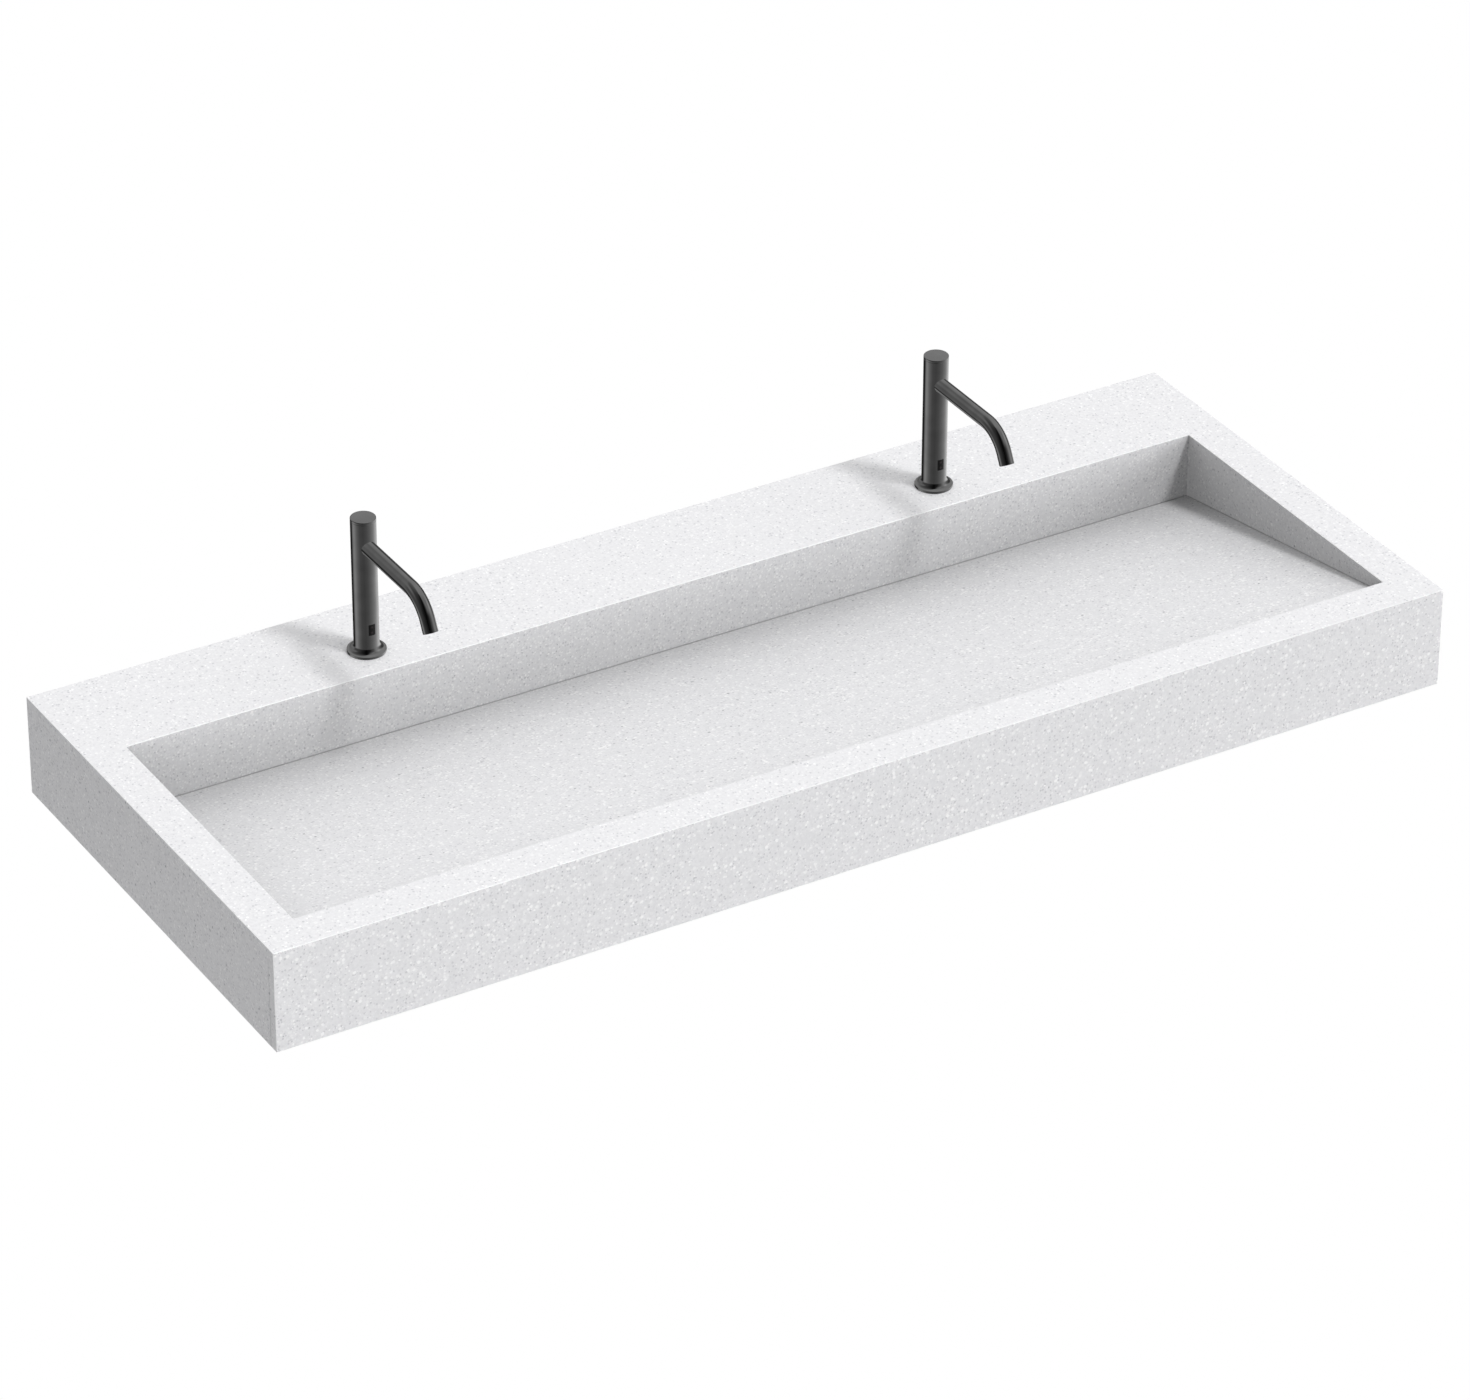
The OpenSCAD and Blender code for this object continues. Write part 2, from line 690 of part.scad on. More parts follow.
// Moves a child to the spout's outlet, with +Z pointing back up the tube
module at_outlet() {
    translate([0, -spout_run, spout_z - spout_bend_r]) rotate([spout_bend, 0, 0])
        translate([0, -spout_tip, spout_bend_r]) rotate([-90, 0, 0]) children();
}

// A tube from the faucet's axis to the bend, and round the bend
module spout(side) {
    inner_r = spout_r - spout_wall;
    color(GRAPHITE) at_faucet(side) difference() {
        union() {
            translate([0, 0, spout_z]) rod_y(spout_r, -spout_run, spout_root);
            spout_turn(spout_r);
        }
        translate([0, 0, spout_z]) rod_y(inner_r, -spout_run, spout_root + CUT);
        spout_turn(inner_r);
    }
}

module spout_turn(r) {
    translate([0, -spout_run, spout_z - spout_bend_r]) rotate([180, -90, 0])
        rotate_extrude(angle = spout_bend) translate([spout_bend_r, 0]) circle(r = r);
}

// The spout's tip, screwed on: a short tube with a plug in it, and three rings of holes
module aerator(side) {
    inner_r = spout_r - spout_wall;
    plug_z = aerator_recess + aerator_l;
    color(GRAPHITE) at_faucet(side) at_outlet() difference() {
        cylinder(r = spout_r, h = spout_tip);
        translate([0, 0, -CUT]) cylinder(r = inner_r, h = aerator_recess + CUT);
        translate([0, 0, plug_z]) cylinder(r = inner_r, h = spout_tip - plug_z + CUT);
        for (n = [1, 6, 12], i = [0 : n - 1]) rotate(i * 360 / n)
            translate([n == 1 ? 0 : inner_r * n / 16, 0, 0]) cylinder(d = aerator_hole_d, h = spout_tip);
    }
}

// Brings the water from the riser pipe into the spout's root
module spout_holder(side) {
    groove_w = spout_seal_t + seal_play;
    color(BRASS) at_faucet(side) difference() {
        translate([0, 0, holder_z0]) cylinder(r = core_r, h = holder_h);
        translate([0, 0, spout_z])
            rod_y(spout_r + fit_gap, -core_r - CUT, spout_root + root_space);
        translate([0, 0, spout_z]) rod_y(groove_r, -groove_w / 2, groove_w / 2);
        translate([0, riser_offset, holder_z0 - CUT])
            cylinder(r = riser_r + fit_gap, h = spout_z - holder_z0 + CUT);
    }
}

module spout_seal(side) {
    color(RUBBER) at_faucet(side) translate([0, 0, spout_z]) rotate([90, 0, 0])
        rotate_extrude() translate([spout_r + (fit_gap + spout_seal_t) / 2, 0])
            circle(d = spout_seal_t);
}

module riser_pipe(side) {
    color(COPPER) at_faucet(side) translate([0, riser_offset, riser_z0])
        ring(riser_r, riser_r - riser_wall, riser_z1 - riser_z0);
}

module sensor_window(side) {
    color(LENS) at_faucet(side) translate([0, 0, window_z]) intersection() {
        rotate([90, 0, 0]) linear_extrude(body_r)
            rounded_rectangle(window_w - 2 * fit_gap, window_h - 2 * fit_gap, window_r);
        translate([0, 0, -window_h]) ring(body_r - fit_gap, bore_r, 2 * window_h);
    }
}

// A board in a case, with an emitter and a receiver that look out through the window
module sensor_module(side) {
    color(PLASTIC) at_faucet(side) translate([0, 0, window_z]) union() {
        block([-sensor_w / 2, sensor_y, -sensor_h / 2],
            [sensor_w / 2, sensor_y + sensor_t, sensor_h / 2]);
        for (z = [-0.5, 0.5]) translate([0, 0, z * eye_pitch])
            rod_y(eye_d / 2, fit_gap - core_r, sensor_y + sensor_t / 2);
    }
}

module base_gasket(side) {
    color(RUBBER) at_faucet(side)
        ring(gasket_r - fit_gap, deck_hole_d / 2, base_gasket_t);
}

module shank(side) {
    color(BRASS) at_faucet(side) difference() {
        translate([0, 0, -shank_l]) cylinder(r = core_r, h = shank_l + shank_top);
        translate([0, 0, -shank_l - CUT])
            cylinder(d = shank_bore_d, h = shank_l + shank_top - shank_cover + CUT);
        translate([0, riser_offset, shank_top - shank_cover - CUT])
            cylinder(r = riser_r + fit_gap, h = shank_cover + 2 * CUT);
    }
}

module clamp_washer(side) {
    color(STEEL) at_faucet(side) translate([0, 0, clamp_z])
        ring(clamp_d / 2, core_r + pass_gap, clamp_t);
}

module lock_nut(side) {
    color(BRASS) at_faucet(side) translate([0, 0, nut_z]) difference() {
        cylinder(d = nut_d, h = nut_h, $fn = 6);
        translate([0, 0, -CUT]) cylinder(r = core_r + fit_gap, h = nut_h + 2 * CUT);
    }
}

// ---- Valve ----

// Water comes up the inlet, through the seat into the chamber, and up to the shank
module valve_block(side) {
    color(BRASS) at_faucet(side) difference() {
        union() {
            block([-valve_w / 2, -valve_w / 2, valve_z], [valve_w / 2, valve_w / 2, valve_top]);
            translate([0, 0, valve_z - inlet_l]) cylinder(d = inlet_d, h = inlet_l);
        }
        translate([0, 0, plenum_z])
            cylinder(r = core_r + fit_gap, h = valve_top - plenum_z + CUT);
        translate([0, 0, valve_z - inlet_l - CUT])
            cylinder(d = inlet_bore_d, h = plunger_z + seat_d - valve_z + inlet_l + CUT);
        translate([0, 0, plunger_z]) rod_y(seat_d / 2, 0, seat_y + CUT);
        translate([0, 0, plunger_z]) rod_y(chamber_r, seat_y, valve_w / 2 + CUT);
        translate([0, outlet_y, plunger_z]) cylinder(d = outlet_d, h = plenum_z - plunger_z + CUT);
    }
}

module coil(side) {
    color(PLASTIC) at_faucet(side) translate([0, 0, plunger_z]) difference() {
        union() {
            rod_y(coil_d / 2, coil_y0, coil_y1);
            translate([-terminal_w / 2, (coil_y0 + coil_y1 - terminal_w) / 2, 0])
                cube([terminal_w, terminal_w, coil_d / 2 + terminal_h]);
        }
        rod_y(chamber_r, coil_y0 - CUT, spring_y1);
    }
}

module plunger(side) {
    color(STEEL) at_faucet(side) translate([0, 0, plunger_z]) difference() {
        union() {
            rod_y(nose_d / 2, seat_y, nose_y1);
            rod_y(plunger_d / 2, nose_y1, plunger_y1);
        }
        rod_y(spring_d / 2 + fit_gap, spring_y0, plunger_y1 + CUT);
    }
}

// A point on the spring's wire: step i along the coil, corner k of the wire's section
function spring_point(i, k) =
    let (turn = 360 * i / SPRING_STEPS, corner = 360 * k / SPRING_SIDES,
        r = spring_r + spring_wire / 2 * cos(corner),
        rise = (spring_y1 - spring_y0 - spring_wire) * i / (SPRING_TURNS * SPRING_STEPS))
    [r * cos(turn), spring_y0 + spring_wire / 2 * (1 + sin(corner)) + rise, r * sin(turn)];

module plunger_spring(side) {
    rings = SPRING_TURNS * SPRING_STEPS;
    points = [for (i = [0 : rings], k = [0 : SPRING_SIDES - 1]) spring_point(i, k)];
    walls = [for (i = [0 : rings - 1], k = [0 : SPRING_SIDES - 1])
        let (a = i * SPRING_SIDES + k, b = i * SPRING_SIDES + (k + 1) % SPRING_SIDES,
            c = a + SPRING_SIDES, d = b + SPRING_SIDES)
        each [[a, b, d], [a, d, c]]];
    ends = [[for (k = [SPRING_SIDES - 1 : -1 : 0]) k],
        [for (k = [0 : SPRING_SIDES - 1]) rings * SPRING_SIDES + k]];
    color(STEEL) at_faucet(side) translate([0, 0, plunger_z])
        polyhedron(points, concat(walls, ends));
}

deck();
front_apron();
side_apron(LEFT);  // left_apron
side_apron(RIGHT);  // right_apron
basin_back_wall();
basin_front_wall();
basin_side_wall(LEFT);  // basin_left_wall
basin_side_wall(RIGHT);  // basin_right_wall
basin_floor();
ramp_panel();
ramp_ribs();
ramp_bumpers();
drain_strainer();
drain_body();
drain_gasket();
drain_washer();
drain_nut();
tailpiece();
bracket(LEFT);  // left_bracket
bracket(RIGHT);  // right_bracket
wall_rail();
faucet_backer();
deck_screws();
deck_inserts();
control_module();
faucet_body(LEFT);  // left_faucet_body
faucet_body(RIGHT);  // right_faucet_body
faucet_cap(LEFT);  // left_faucet_cap
faucet_cap(RIGHT);  // right_faucet_cap
spout(LEFT);  // left_spout
spout(RIGHT);  // right_spout
aerator(LEFT);  // left_aerator
aerator(RIGHT);  // right_aerator
spout_holder(LEFT);  // left_spout_holder
spout_holder(RIGHT);  // right_spout_holder
spout_seal(LEFT);  // left_spout_seal
spout_seal(RIGHT);  // right_spout_seal
riser_pipe(LEFT);  // left_riser_pipe
riser_pipe(RIGHT);  // right_riser_pipe
sensor_window(LEFT);  // left_sensor_window
sensor_window(RIGHT);  // right_sensor_window
sensor_module(LEFT);  // left_sensor_module
sensor_module(RIGHT);  // right_sensor_module
base_gasket(LEFT);  // left_base_gasket
base_gasket(RIGHT);  // right_base_gasket
shank(LEFT);  // left_shank
shank(RIGHT);  // right_shank
clamp_washer(LEFT);  // left_clamp_washer
clamp_washer(RIGHT);  // right_clamp_washer
lock_nut(LEFT);  // left_lock_nut
lock_nut(RIGHT);  // right_lock_nut
valve_block(LEFT);  // left_valve_block
valve_block(RIGHT);  // right_valve_block
coil(LEFT);  // left_coil
coil(RIGHT);  // right_coil
plunger(LEFT);  // left_plunger
plunger(RIGHT);  // right_plunger
plunger_spring(LEFT);  // left_plunger_spring
plunger_spring(RIGHT);  // right_plunger_spring
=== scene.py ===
# %% [markdown]
# # A trough sink with two touch-free faucets
#
# The sink is sheets of pale solid surface glued into one smooth bowl. A sloping ramp lies in it, and two
# dark metal faucets stand on the deck behind it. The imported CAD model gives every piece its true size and
# place. This script gives each visible piece its eased edges, its curves and its finish.

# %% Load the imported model
import json
import math

import bmesh
import bpy
from mathutils import Matrix, Vector

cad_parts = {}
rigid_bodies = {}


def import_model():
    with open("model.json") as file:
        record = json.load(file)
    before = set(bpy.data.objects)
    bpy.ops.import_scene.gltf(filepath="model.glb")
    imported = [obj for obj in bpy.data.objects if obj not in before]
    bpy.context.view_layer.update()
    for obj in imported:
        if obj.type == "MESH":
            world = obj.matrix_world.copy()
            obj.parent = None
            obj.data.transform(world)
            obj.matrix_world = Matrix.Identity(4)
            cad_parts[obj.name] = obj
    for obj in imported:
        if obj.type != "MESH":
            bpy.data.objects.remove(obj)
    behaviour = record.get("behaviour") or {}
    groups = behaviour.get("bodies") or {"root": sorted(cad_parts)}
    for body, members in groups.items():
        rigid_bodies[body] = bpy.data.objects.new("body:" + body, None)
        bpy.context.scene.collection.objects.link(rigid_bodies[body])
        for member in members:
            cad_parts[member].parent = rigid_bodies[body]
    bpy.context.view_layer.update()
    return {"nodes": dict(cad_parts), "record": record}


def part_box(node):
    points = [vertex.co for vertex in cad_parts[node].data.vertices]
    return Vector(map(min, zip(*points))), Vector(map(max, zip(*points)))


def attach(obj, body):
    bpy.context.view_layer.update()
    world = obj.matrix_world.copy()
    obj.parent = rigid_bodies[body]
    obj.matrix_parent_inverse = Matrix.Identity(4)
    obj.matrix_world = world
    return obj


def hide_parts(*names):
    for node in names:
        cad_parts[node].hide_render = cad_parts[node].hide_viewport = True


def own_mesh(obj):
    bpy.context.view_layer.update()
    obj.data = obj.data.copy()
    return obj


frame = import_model()
nodes = frame["nodes"]
MM = 0.001

# %% [markdown]
# ## Camera
#
# The sink is seen from its front left, from far away through a long lens, so its edges stay nearly
# parallel. A camera could be aimed with a constraint. Here its three axes are written out instead, because
# the place, the two angles and the slight roll were measured, and nothing has to be computed again.

# %% Camera
PHOTO_WIDTH_PX = 1470
FOCAL_PX = 6957.2
SENSOR_MM = 36.0
CAMERA_PLACE = Vector((-3.4782, -6.1936, 4.0838))
AZIMUTH, ELEVATION, TILT = math.radians(-30.48), math.radians(31.313), math.radians(0.132)


def camera_axes(azimuth, elevation, tilt):
    """The camera's right, up and backward directions, as the columns of a matrix."""
    backward = Vector((math.sin(azimuth) * math.cos(elevation),
                       -math.cos(azimuth) * math.cos(elevation), math.sin(elevation)))
    level = Vector((math.cos(azimuth), math.sin(azimuth), 0))
    roll = math.asin(math.sin(tilt) / math.cos(elevation))
    right = (level * math.cos(roll) + backward.cross(level) * math.sin(roll)).normalized()
    return Matrix((right, backward.cross(right), backward)).transposed()


camera_data = bpy.data.cameras.new("camera")
camera_data.sensor_width = SENSOR_MM
camera_data.lens = FOCAL_PX / PHOTO_WIDTH_PX * SENSOR_MM
camera_data.clip_end = 100
camera = bpy.data.objects.new("camera", camera_data)
camera.matrix_world = (Matrix.Translation(CAMERA_PLACE)
                       @ camera_axes(AZIMUTH, ELEVATION, TILT).to_4x4())
bpy.context.scene.collection.objects.link(camera)
bpy.context.scene.camera = camera
print(f"lens {camera_data.lens:.2f} mm")

# %% [markdown]
# ## Node helpers
#
# Every finish here is a small network of shader nodes. Two helpers keep the cells short: one starts a
# material with its shader, and one adds a node, sets it up and links what goes into it.

# %% Node helpers
def add_node(tree, kind, inputs=None, **settings):
    """Adds a node. Each input is a plain value, or the socket that feeds it."""
    node = tree.nodes.new(kind)
    for key, value in settings.items():
        setattr(node, key, value)
    for key, value in (inputs or {}).items():
        if isinstance(value, bpy.types.NodeSocket):
            tree.links.new(value, node.inputs[key])
        else:
            node.inputs[key].default_value = value
    return node


def start_finish(name, **sockets):
    """A material with a Principled shader. Its constant values sit on the shader's own sockets."""
    finish = bpy.data.materials.new(name)
    finish.use_nodes = True
    tree = finish.node_tree
    tree.nodes.clear()
    shader = add_node(tree, "ShaderNodeBsdfPrincipled", {
        key.replace("_", " "): value for key, value in sockets.items()})
    output = add_node(tree, "ShaderNodeOutputMaterial", {"Surface": shader.outputs[0]})
    output.is_active_output = True
    place = add_node(tree, "ShaderNodeTexCoord").outputs["Object"]
    return finish, tree, shader, place


def math_node(tree, operation, *values, clamp=False):
    """One arithmetic step, and its result."""
    inputs = dict(enumerate(values))
    return add_node(tree, "ShaderNodeMath", inputs, operation=operation, use_clamp=clamp).outputs[0]


def fade(tree, value, low, high, at_low=0.0, at_high=1.0):
    """Turns a value smoothly from at_low, below low, to at_high, above high."""
    return add_node(tree, "ShaderNodeMapRange", {
        "Value": value, "From Min": low, "From Max": high, "To Min": at_low, "To Max": at_high},
        interpolation_type="SMOOTHSTEP").outputs[0]


def noise(tree, place, size, detail=2.0):
    """Soft random grain. The size of its blobs is in metres."""
    return add_node(tree, "ShaderNodeTexNoise", {
        "Vector": place, "Scale": 1 / size, "Detail": detail, "Roughness": 0.5}).outputs["Fac"]


def blend_colour(tree, share, first, second):
    """A colour that goes from the first to the second as the share goes from 0 to 1."""
    return add_node(tree, "ShaderNodeMix", {0: share, 6: first, 7: second}, data_type="RGBA").outputs[2]


def add_bump(tree, shader, height, depth):
    """Lets a height pattern tip the surface. The depth is in metres."""
    bump = add_node(tree, "ShaderNodeBump", {"Height": height, "Strength": 1.0, "Distance": depth})
    tree.links.new(bump.outputs[0], shader.inputs["Normal"])


def grey(level, warmth=0.0):
    """A linear grey, a little warm above 0 and a little cool below it."""
    return (level * (1 + warmth), level, level * (1 - warmth), 1)


# %% [markdown]
# ## Stone
#
# Solid surface is a pale resin filled with fine mineral and with chips of its own kind: white ones, pale
# grey ones and a few darker ones, each 1 to 4 mm across, sanded flat with the matrix. A picture of
# it would need a UV map and would show its seams. Voronoi cells read in object coordinates run through
# the material in three dimensions instead, so the speckle goes round every edge and across each glued
# joint, as it does in the real sheet. Each cell holds at most one chip. The cell's random colour
# decides whether it has one and how large it is.
#
# Two finer things follow the shape. Eased edges are made smoother, and their colour is lifted towards white
# as a painted highlight: a face that points between the axes is such an edge, and no mask has to be
# painted.
# Where the ramp ends, a thin grey line of painted shade lies on the walls, and the height of that line is
# computed from the ramp's own slope.
#
# White stone throws so much light back into the bowl that its corners would wash out. The colour is
# black for rays that have bounced off it, which keeps the soft shading of a bright studio.

# %% Stone
WHITE_CHIP = (0.985, 0.985, 0.990, 1)
PALE_CHIP = (0.610, 0.610, 0.634, 1)
DARK_CHIP = (0.440, 0.440, 0.465, 1)
# The colour that the eased edges are lifted towards: a painted highlight
EDGE_HIGHLIGHT = (0.975, 0.975, 0.985, 1)
MATRIX_DARK = (0.768, 0.768, 0.784, 1)
MATRIX_PALE = (0.842, 0.842, 0.857, 1)
# Painted shade: the grey of a thin line on the walls just under the ramp's edge
SLOT_SHADE = (0.58, 0.58, 0.59, 1)
# The painted shade starts just under the ramp's edge and fades out between two depths, in metres
SLOT_SHADE_START = 0.0006
SLOT_SHADE_FADE = (0.003, 0.006)
# How far chips are shaken out of round, in metres, and how many shakes there are in a metre
CHIP_SHAKE = 0.0022
SHAKES_PER_METRE = 420.0
# How nearly a face points along an axis: below the first it is an eased edge, above the second it is flat
EDGE_TO_FLAT = (0.930, 0.970)
# Cell size, share of cells with a chip, smallest and largest chip across, colour, and its least strength
CHIP_LAYERS = (
    (0.0036, 0.60, 0.0012, 0.0030, PALE_CHIP, 0.2),
    (0.0034, 0.70, 0.0012, 0.0032, WHITE_CHIP, 0.2),
    (0.0075, 0.45, 0.0014, 0.0032, DARK_CHIP, 0.3),
    (0.0066, 0.50, 0.0026, 0.0046, WHITE_CHIP, 0.3),
)


def chips(tree, place, cell, share, smallest, largest, weakest):
    """A mask that is above 0 inside chips. The cell and the chips' sizes are in metres."""
    cells = add_node(tree, "ShaderNodeTexVoronoi", {"Vector": place, "Scale": 1 / cell, "Randomness": 1.0})
    luck = add_node(tree, "ShaderNodeSeparateColor", {"Color": cells.outputs["Color"]})
    radius = fade(tree, luck.outputs[1], 0.0, 1.0, smallest / 2 / cell, largest / 2 / cell)
    inside = math_node(tree, "SUBTRACT", radius, cells.outputs["Distance"])
    strength = fade(tree, luck.outputs[2], 0.0, 1.0, weakest, 1.0)
    disc = math_node(tree, "MULTIPLY", fade(tree, inside, -0.05, 0.07), strength)
    chosen = math_node(tree, "LESS_THAN", luck.outputs[0], share)
    return math_node(tree, "MULTIPLY", disc, chosen)


def make_stone(name="stone", under_ramp=None):
    """The stone. Under the ramp's edge it may carry a line of painted shade, at a height that falls towards
    the back.
    """
    finish, tree, shader, place = start_finish(name, Specular_IOR_Level=0.4)
    # Chips aren't round, so the coordinates are shaken a little before the cells are cut
    shake = add_node(tree, "ShaderNodeTexNoise", {
        "Vector": place, "Scale": SHAKES_PER_METRE, "Detail": 2.0})
    centred = add_node(tree, "ShaderNodeVectorMath", {0: shake.outputs["Color"], 1: (0.5, 0.5, 0.5)},
                       operation="SUBTRACT").outputs[0]
    offset = add_node(tree, "ShaderNodeVectorMath", {0: centred, "Scale": CHIP_SHAKE},
                      operation="SCALE").outputs[0]
    shaken = add_node(tree, "ShaderNodeVectorMath", {0: place, 1: offset}, operation="ADD").outputs[0]
    cloud = fade(tree, noise(tree, place, 0.0040, 2.0), 0.25, 0.75)
    colour = blend_colour(tree, cloud, MATRIX_DARK, MATRIX_PALE)
    for number, layer in enumerate(CHIP_LAYERS):
        cell, share, smallest, largest, chip, weakest = layer
        moved = add_node(tree, "ShaderNodeMapping", {
            "Vector": shaken, "Location": (0.37 * number, 0.61 * number, 0.83 * number)}).outputs[0]
        mask = chips(tree, moved, cell, share, smallest, largest, weakest)
        colour = blend_colour(tree, mask, colour, chip)
    rough = fade(tree, noise(tree, place, 0.004), 0.3, 0.7, 0.42, 0.54)
    # The eased edges are the faces that point between the axes; they get a lower roughness and a painted
    # highlight
    normal = add_node(tree, "ShaderNodeNewGeometry").outputs["Normal"]
    facing = add_node(tree, "ShaderNodeVectorMath", {0: normal}, operation="ABSOLUTE").outputs[0]
    parts = add_node(tree, "ShaderNodeSeparateXYZ", {"Vector": facing}).outputs
    straightest = math_node(tree, "MAXIMUM", parts[0], math_node(tree, "MAXIMUM", parts[1], parts[2]))
    edge = fade(tree, straightest, *EDGE_TO_FLAT, 1.0, 0.0)
    rough = math_node(tree, "MULTIPLY_ADD", edge, -0.30, rough)
    # Painted highlight: the eased edges' colour is lifted towards white
    colour = blend_colour(tree, math_node(tree, "MULTIPLY", edge, 0.85), colour, EDGE_HIGHLIGHT)
    if under_ramp:
        front_height, fall = under_ramp
        axes = add_node(tree, "ShaderNodeSeparateXYZ", {"Vector": place})
        ramp_height = math_node(tree, "MULTIPLY_ADD", axes.outputs[1], -fall, front_height)
        depth = math_node(tree, "SUBTRACT", ramp_height, axes.outputs[2])
        slot_shade_mask = math_node(tree, "MULTIPLY", fade(tree, depth, 0.0, SLOT_SHADE_START),
                         fade(tree, depth, *SLOT_SHADE_FADE, 1, 0))
        # Only the inner faces of the walls carry it: those within the opening, with 0.4 mm to spare
        (west, south, _), (east, north, _) = OPENING
        for axis, low, high in ((0, west, east), (1, south, north)):
            from_middle = math_node(tree, "SUBTRACT", axes.outputs[axis], (low + high) / 2)
            off_centre = math_node(tree, "ABSOLUTE", from_middle)
            reach = (high - low) / 2
            within = fade(tree, off_centre, reach + 0.0003, reach + 0.0005, 1, 0)
            slot_shade_mask = math_node(tree, "MULTIPLY", slot_shade_mask, within)
        patchy = fade(tree, noise(tree, place, 0.012, 4.0), 0.3, 0.7, 0.75, 1.0)
        slot_shade_mask = math_node(tree, "MULTIPLY", slot_shade_mask, patchy)
        # Painted shade: a thin grey line on the walls just under the ramp's edge
        colour = blend_colour(tree, slot_shade_mask, colour, SLOT_SHADE)
        rough = math_node(tree, "MULTIPLY_ADD", slot_shade_mask, 0.3, rough)
    passed_on = add_node(tree, "ShaderNodeLightPath").outputs["Is Diffuse Ray"]
    colour = blend_colour(tree, passed_on, colour, grey(0.0))
    tree.links.new(colour, shader.inputs["Base Color"])
    tree.links.new(rough, shader.inputs["Roughness"])
    add_bump(tree, shader, noise(tree, place, 0.0012, 3.0), 0.000012)
    return finish


wall_boxes = {side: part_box(f"basin_{side}_wall") for side in ("left", "right", "front", "back")}
OPENING = ((wall_boxes["left"][1][0], wall_boxes["front"][1][1], 0.0),
           (wall_boxes["right"][0][0], wall_boxes["back"][0][1], 0.0))
ramp_low, ramp_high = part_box("ramp_panel")
ramp_back_top = max(vert.co.z for vert in nodes["ramp_panel"].data.vertices
                    if vert.co.y > ramp_high[1] - 1e-5)
ramp_fall = (ramp_high[2] - ramp_back_top) / (ramp_high[1] - ramp_low[1])
stone = make_stone()
basin_stone = make_stone("basin_stone", (ramp_high[2] + ramp_fall * ramp_low[1], ramp_fall))
print(f"stone: {len(stone.node_tree.nodes)} nodes; the ramp falls {ramp_fall:.3f} m in each metre")

# %% [markdown]
# ## Faucet metal
#
# The faucets have a thin graphite-coloured coating on satin metal. It is dark seen straight on and bright
# at a glancing angle. A plain dark paint would look flat, so the shader is fully metallic with a dark
# colour, and its roughness wanders a little, as a sanded and coated tube's does.

# %% Faucet metal
def make_graphite():
    finish, tree, shader, place = start_finish("graphite", Metallic=1.0)
    fine = noise(tree, place, 0.0006, 2.0)
    broad = noise(tree, place, 0.018, 2.0)
    shade = math_node(tree, "MULTIPLY_ADD", fine, 0.12, math_node(tree, "MULTIPLY", broad, 0.88))
    colour = blend_colour(tree, fade(tree, shade, 0.3, 0.7), grey(0.127), grey(0.146))
    tree.links.new(colour, shader.inputs["Base Color"])
    rough = fade(tree, broad, 0.3, 0.7, 0.06, 0.08)
    tree.links.new(rough, shader.inputs["Roughness"])
    add_bump(tree, shader, fine, 0.0000015)
    return finish


graphite = make_graphite()
print("graphite:", len(graphite.node_tree.nodes), "nodes")

# %% [markdown]
# ## Sensor window
#
# The window is smoked plastic, black and glossy, and the emitter and receiver behind it show as two faint
# discs. They could be real lenses behind real glass, but so small a window would cost the render a lot and
# show nothing more. A mask of two circles, the same distance from each faucet's axis, does the same.

# %% Sensor window
FAUCET_X = 0.381
FAUCET_Y = -0.1016
WINDOW_Z = 0.034
EYE_PITCH = 0.007
# An eye's edge is soft between these two radii
EYE_EDGE = (0.0013, 0.0017)


def make_smoked_window():
    finish, tree, shader, place = start_finish("smoked_window", Roughness=0.06, Specular_IOR_Level=0.15)
    axes = add_node(tree, "ShaderNodeSeparateXYZ", {"Vector": place})
    across = math_node(tree, "SUBTRACT", math_node(tree, "ABSOLUTE", axes.outputs[0]), FAUCET_X)
    up = math_node(tree, "SUBTRACT", axes.outputs[2], WINDOW_Z)
    from_eye = math_node(tree, "SUBTRACT", math_node(tree, "ABSOLUTE", up), EYE_PITCH / 2)
    distance = math_node(tree, "SQRT", math_node(
        tree, "ADD", math_node(tree, "MULTIPLY", across, across),
        math_node(tree, "MULTIPLY", from_eye, from_eye)))
    eye = fade(tree, distance, *EYE_EDGE, 1.0, 0.0)
    dust = fade(tree, noise(tree, place, 0.002), 0.35, 0.65, 0.0, 0.004)
    colour = blend_colour(tree, eye, (0.006, 0.006, 0.006, 1), (0.024, 0.019, 0.020, 1))
    tree.links.new(colour, shader.inputs["Base Color"])
    tree.links.new(math_node(tree, "ADD", dust, 0.055), shader.inputs["Roughness"])
    return finish


smoked_window = make_smoked_window()
print("smoked window:", len(smoked_window.node_tree.nodes), "nodes")

# %% [markdown]
# ## Finishes under the deck
#
# The bracket, the drain and the valves are seen from behind and below. Galvanised steel has large pale
# crystals, drawn brass and stainless steel have fine streaks, plywood shows its layers on its edges, and
# rubber and moulded plastic are dull and slightly grainy. One function makes each metal or plastic from
# two colours and a grain size, and only plywood needs its own network.

# %% Finishes under the deck
PLY_THICKNESS = 0.0018


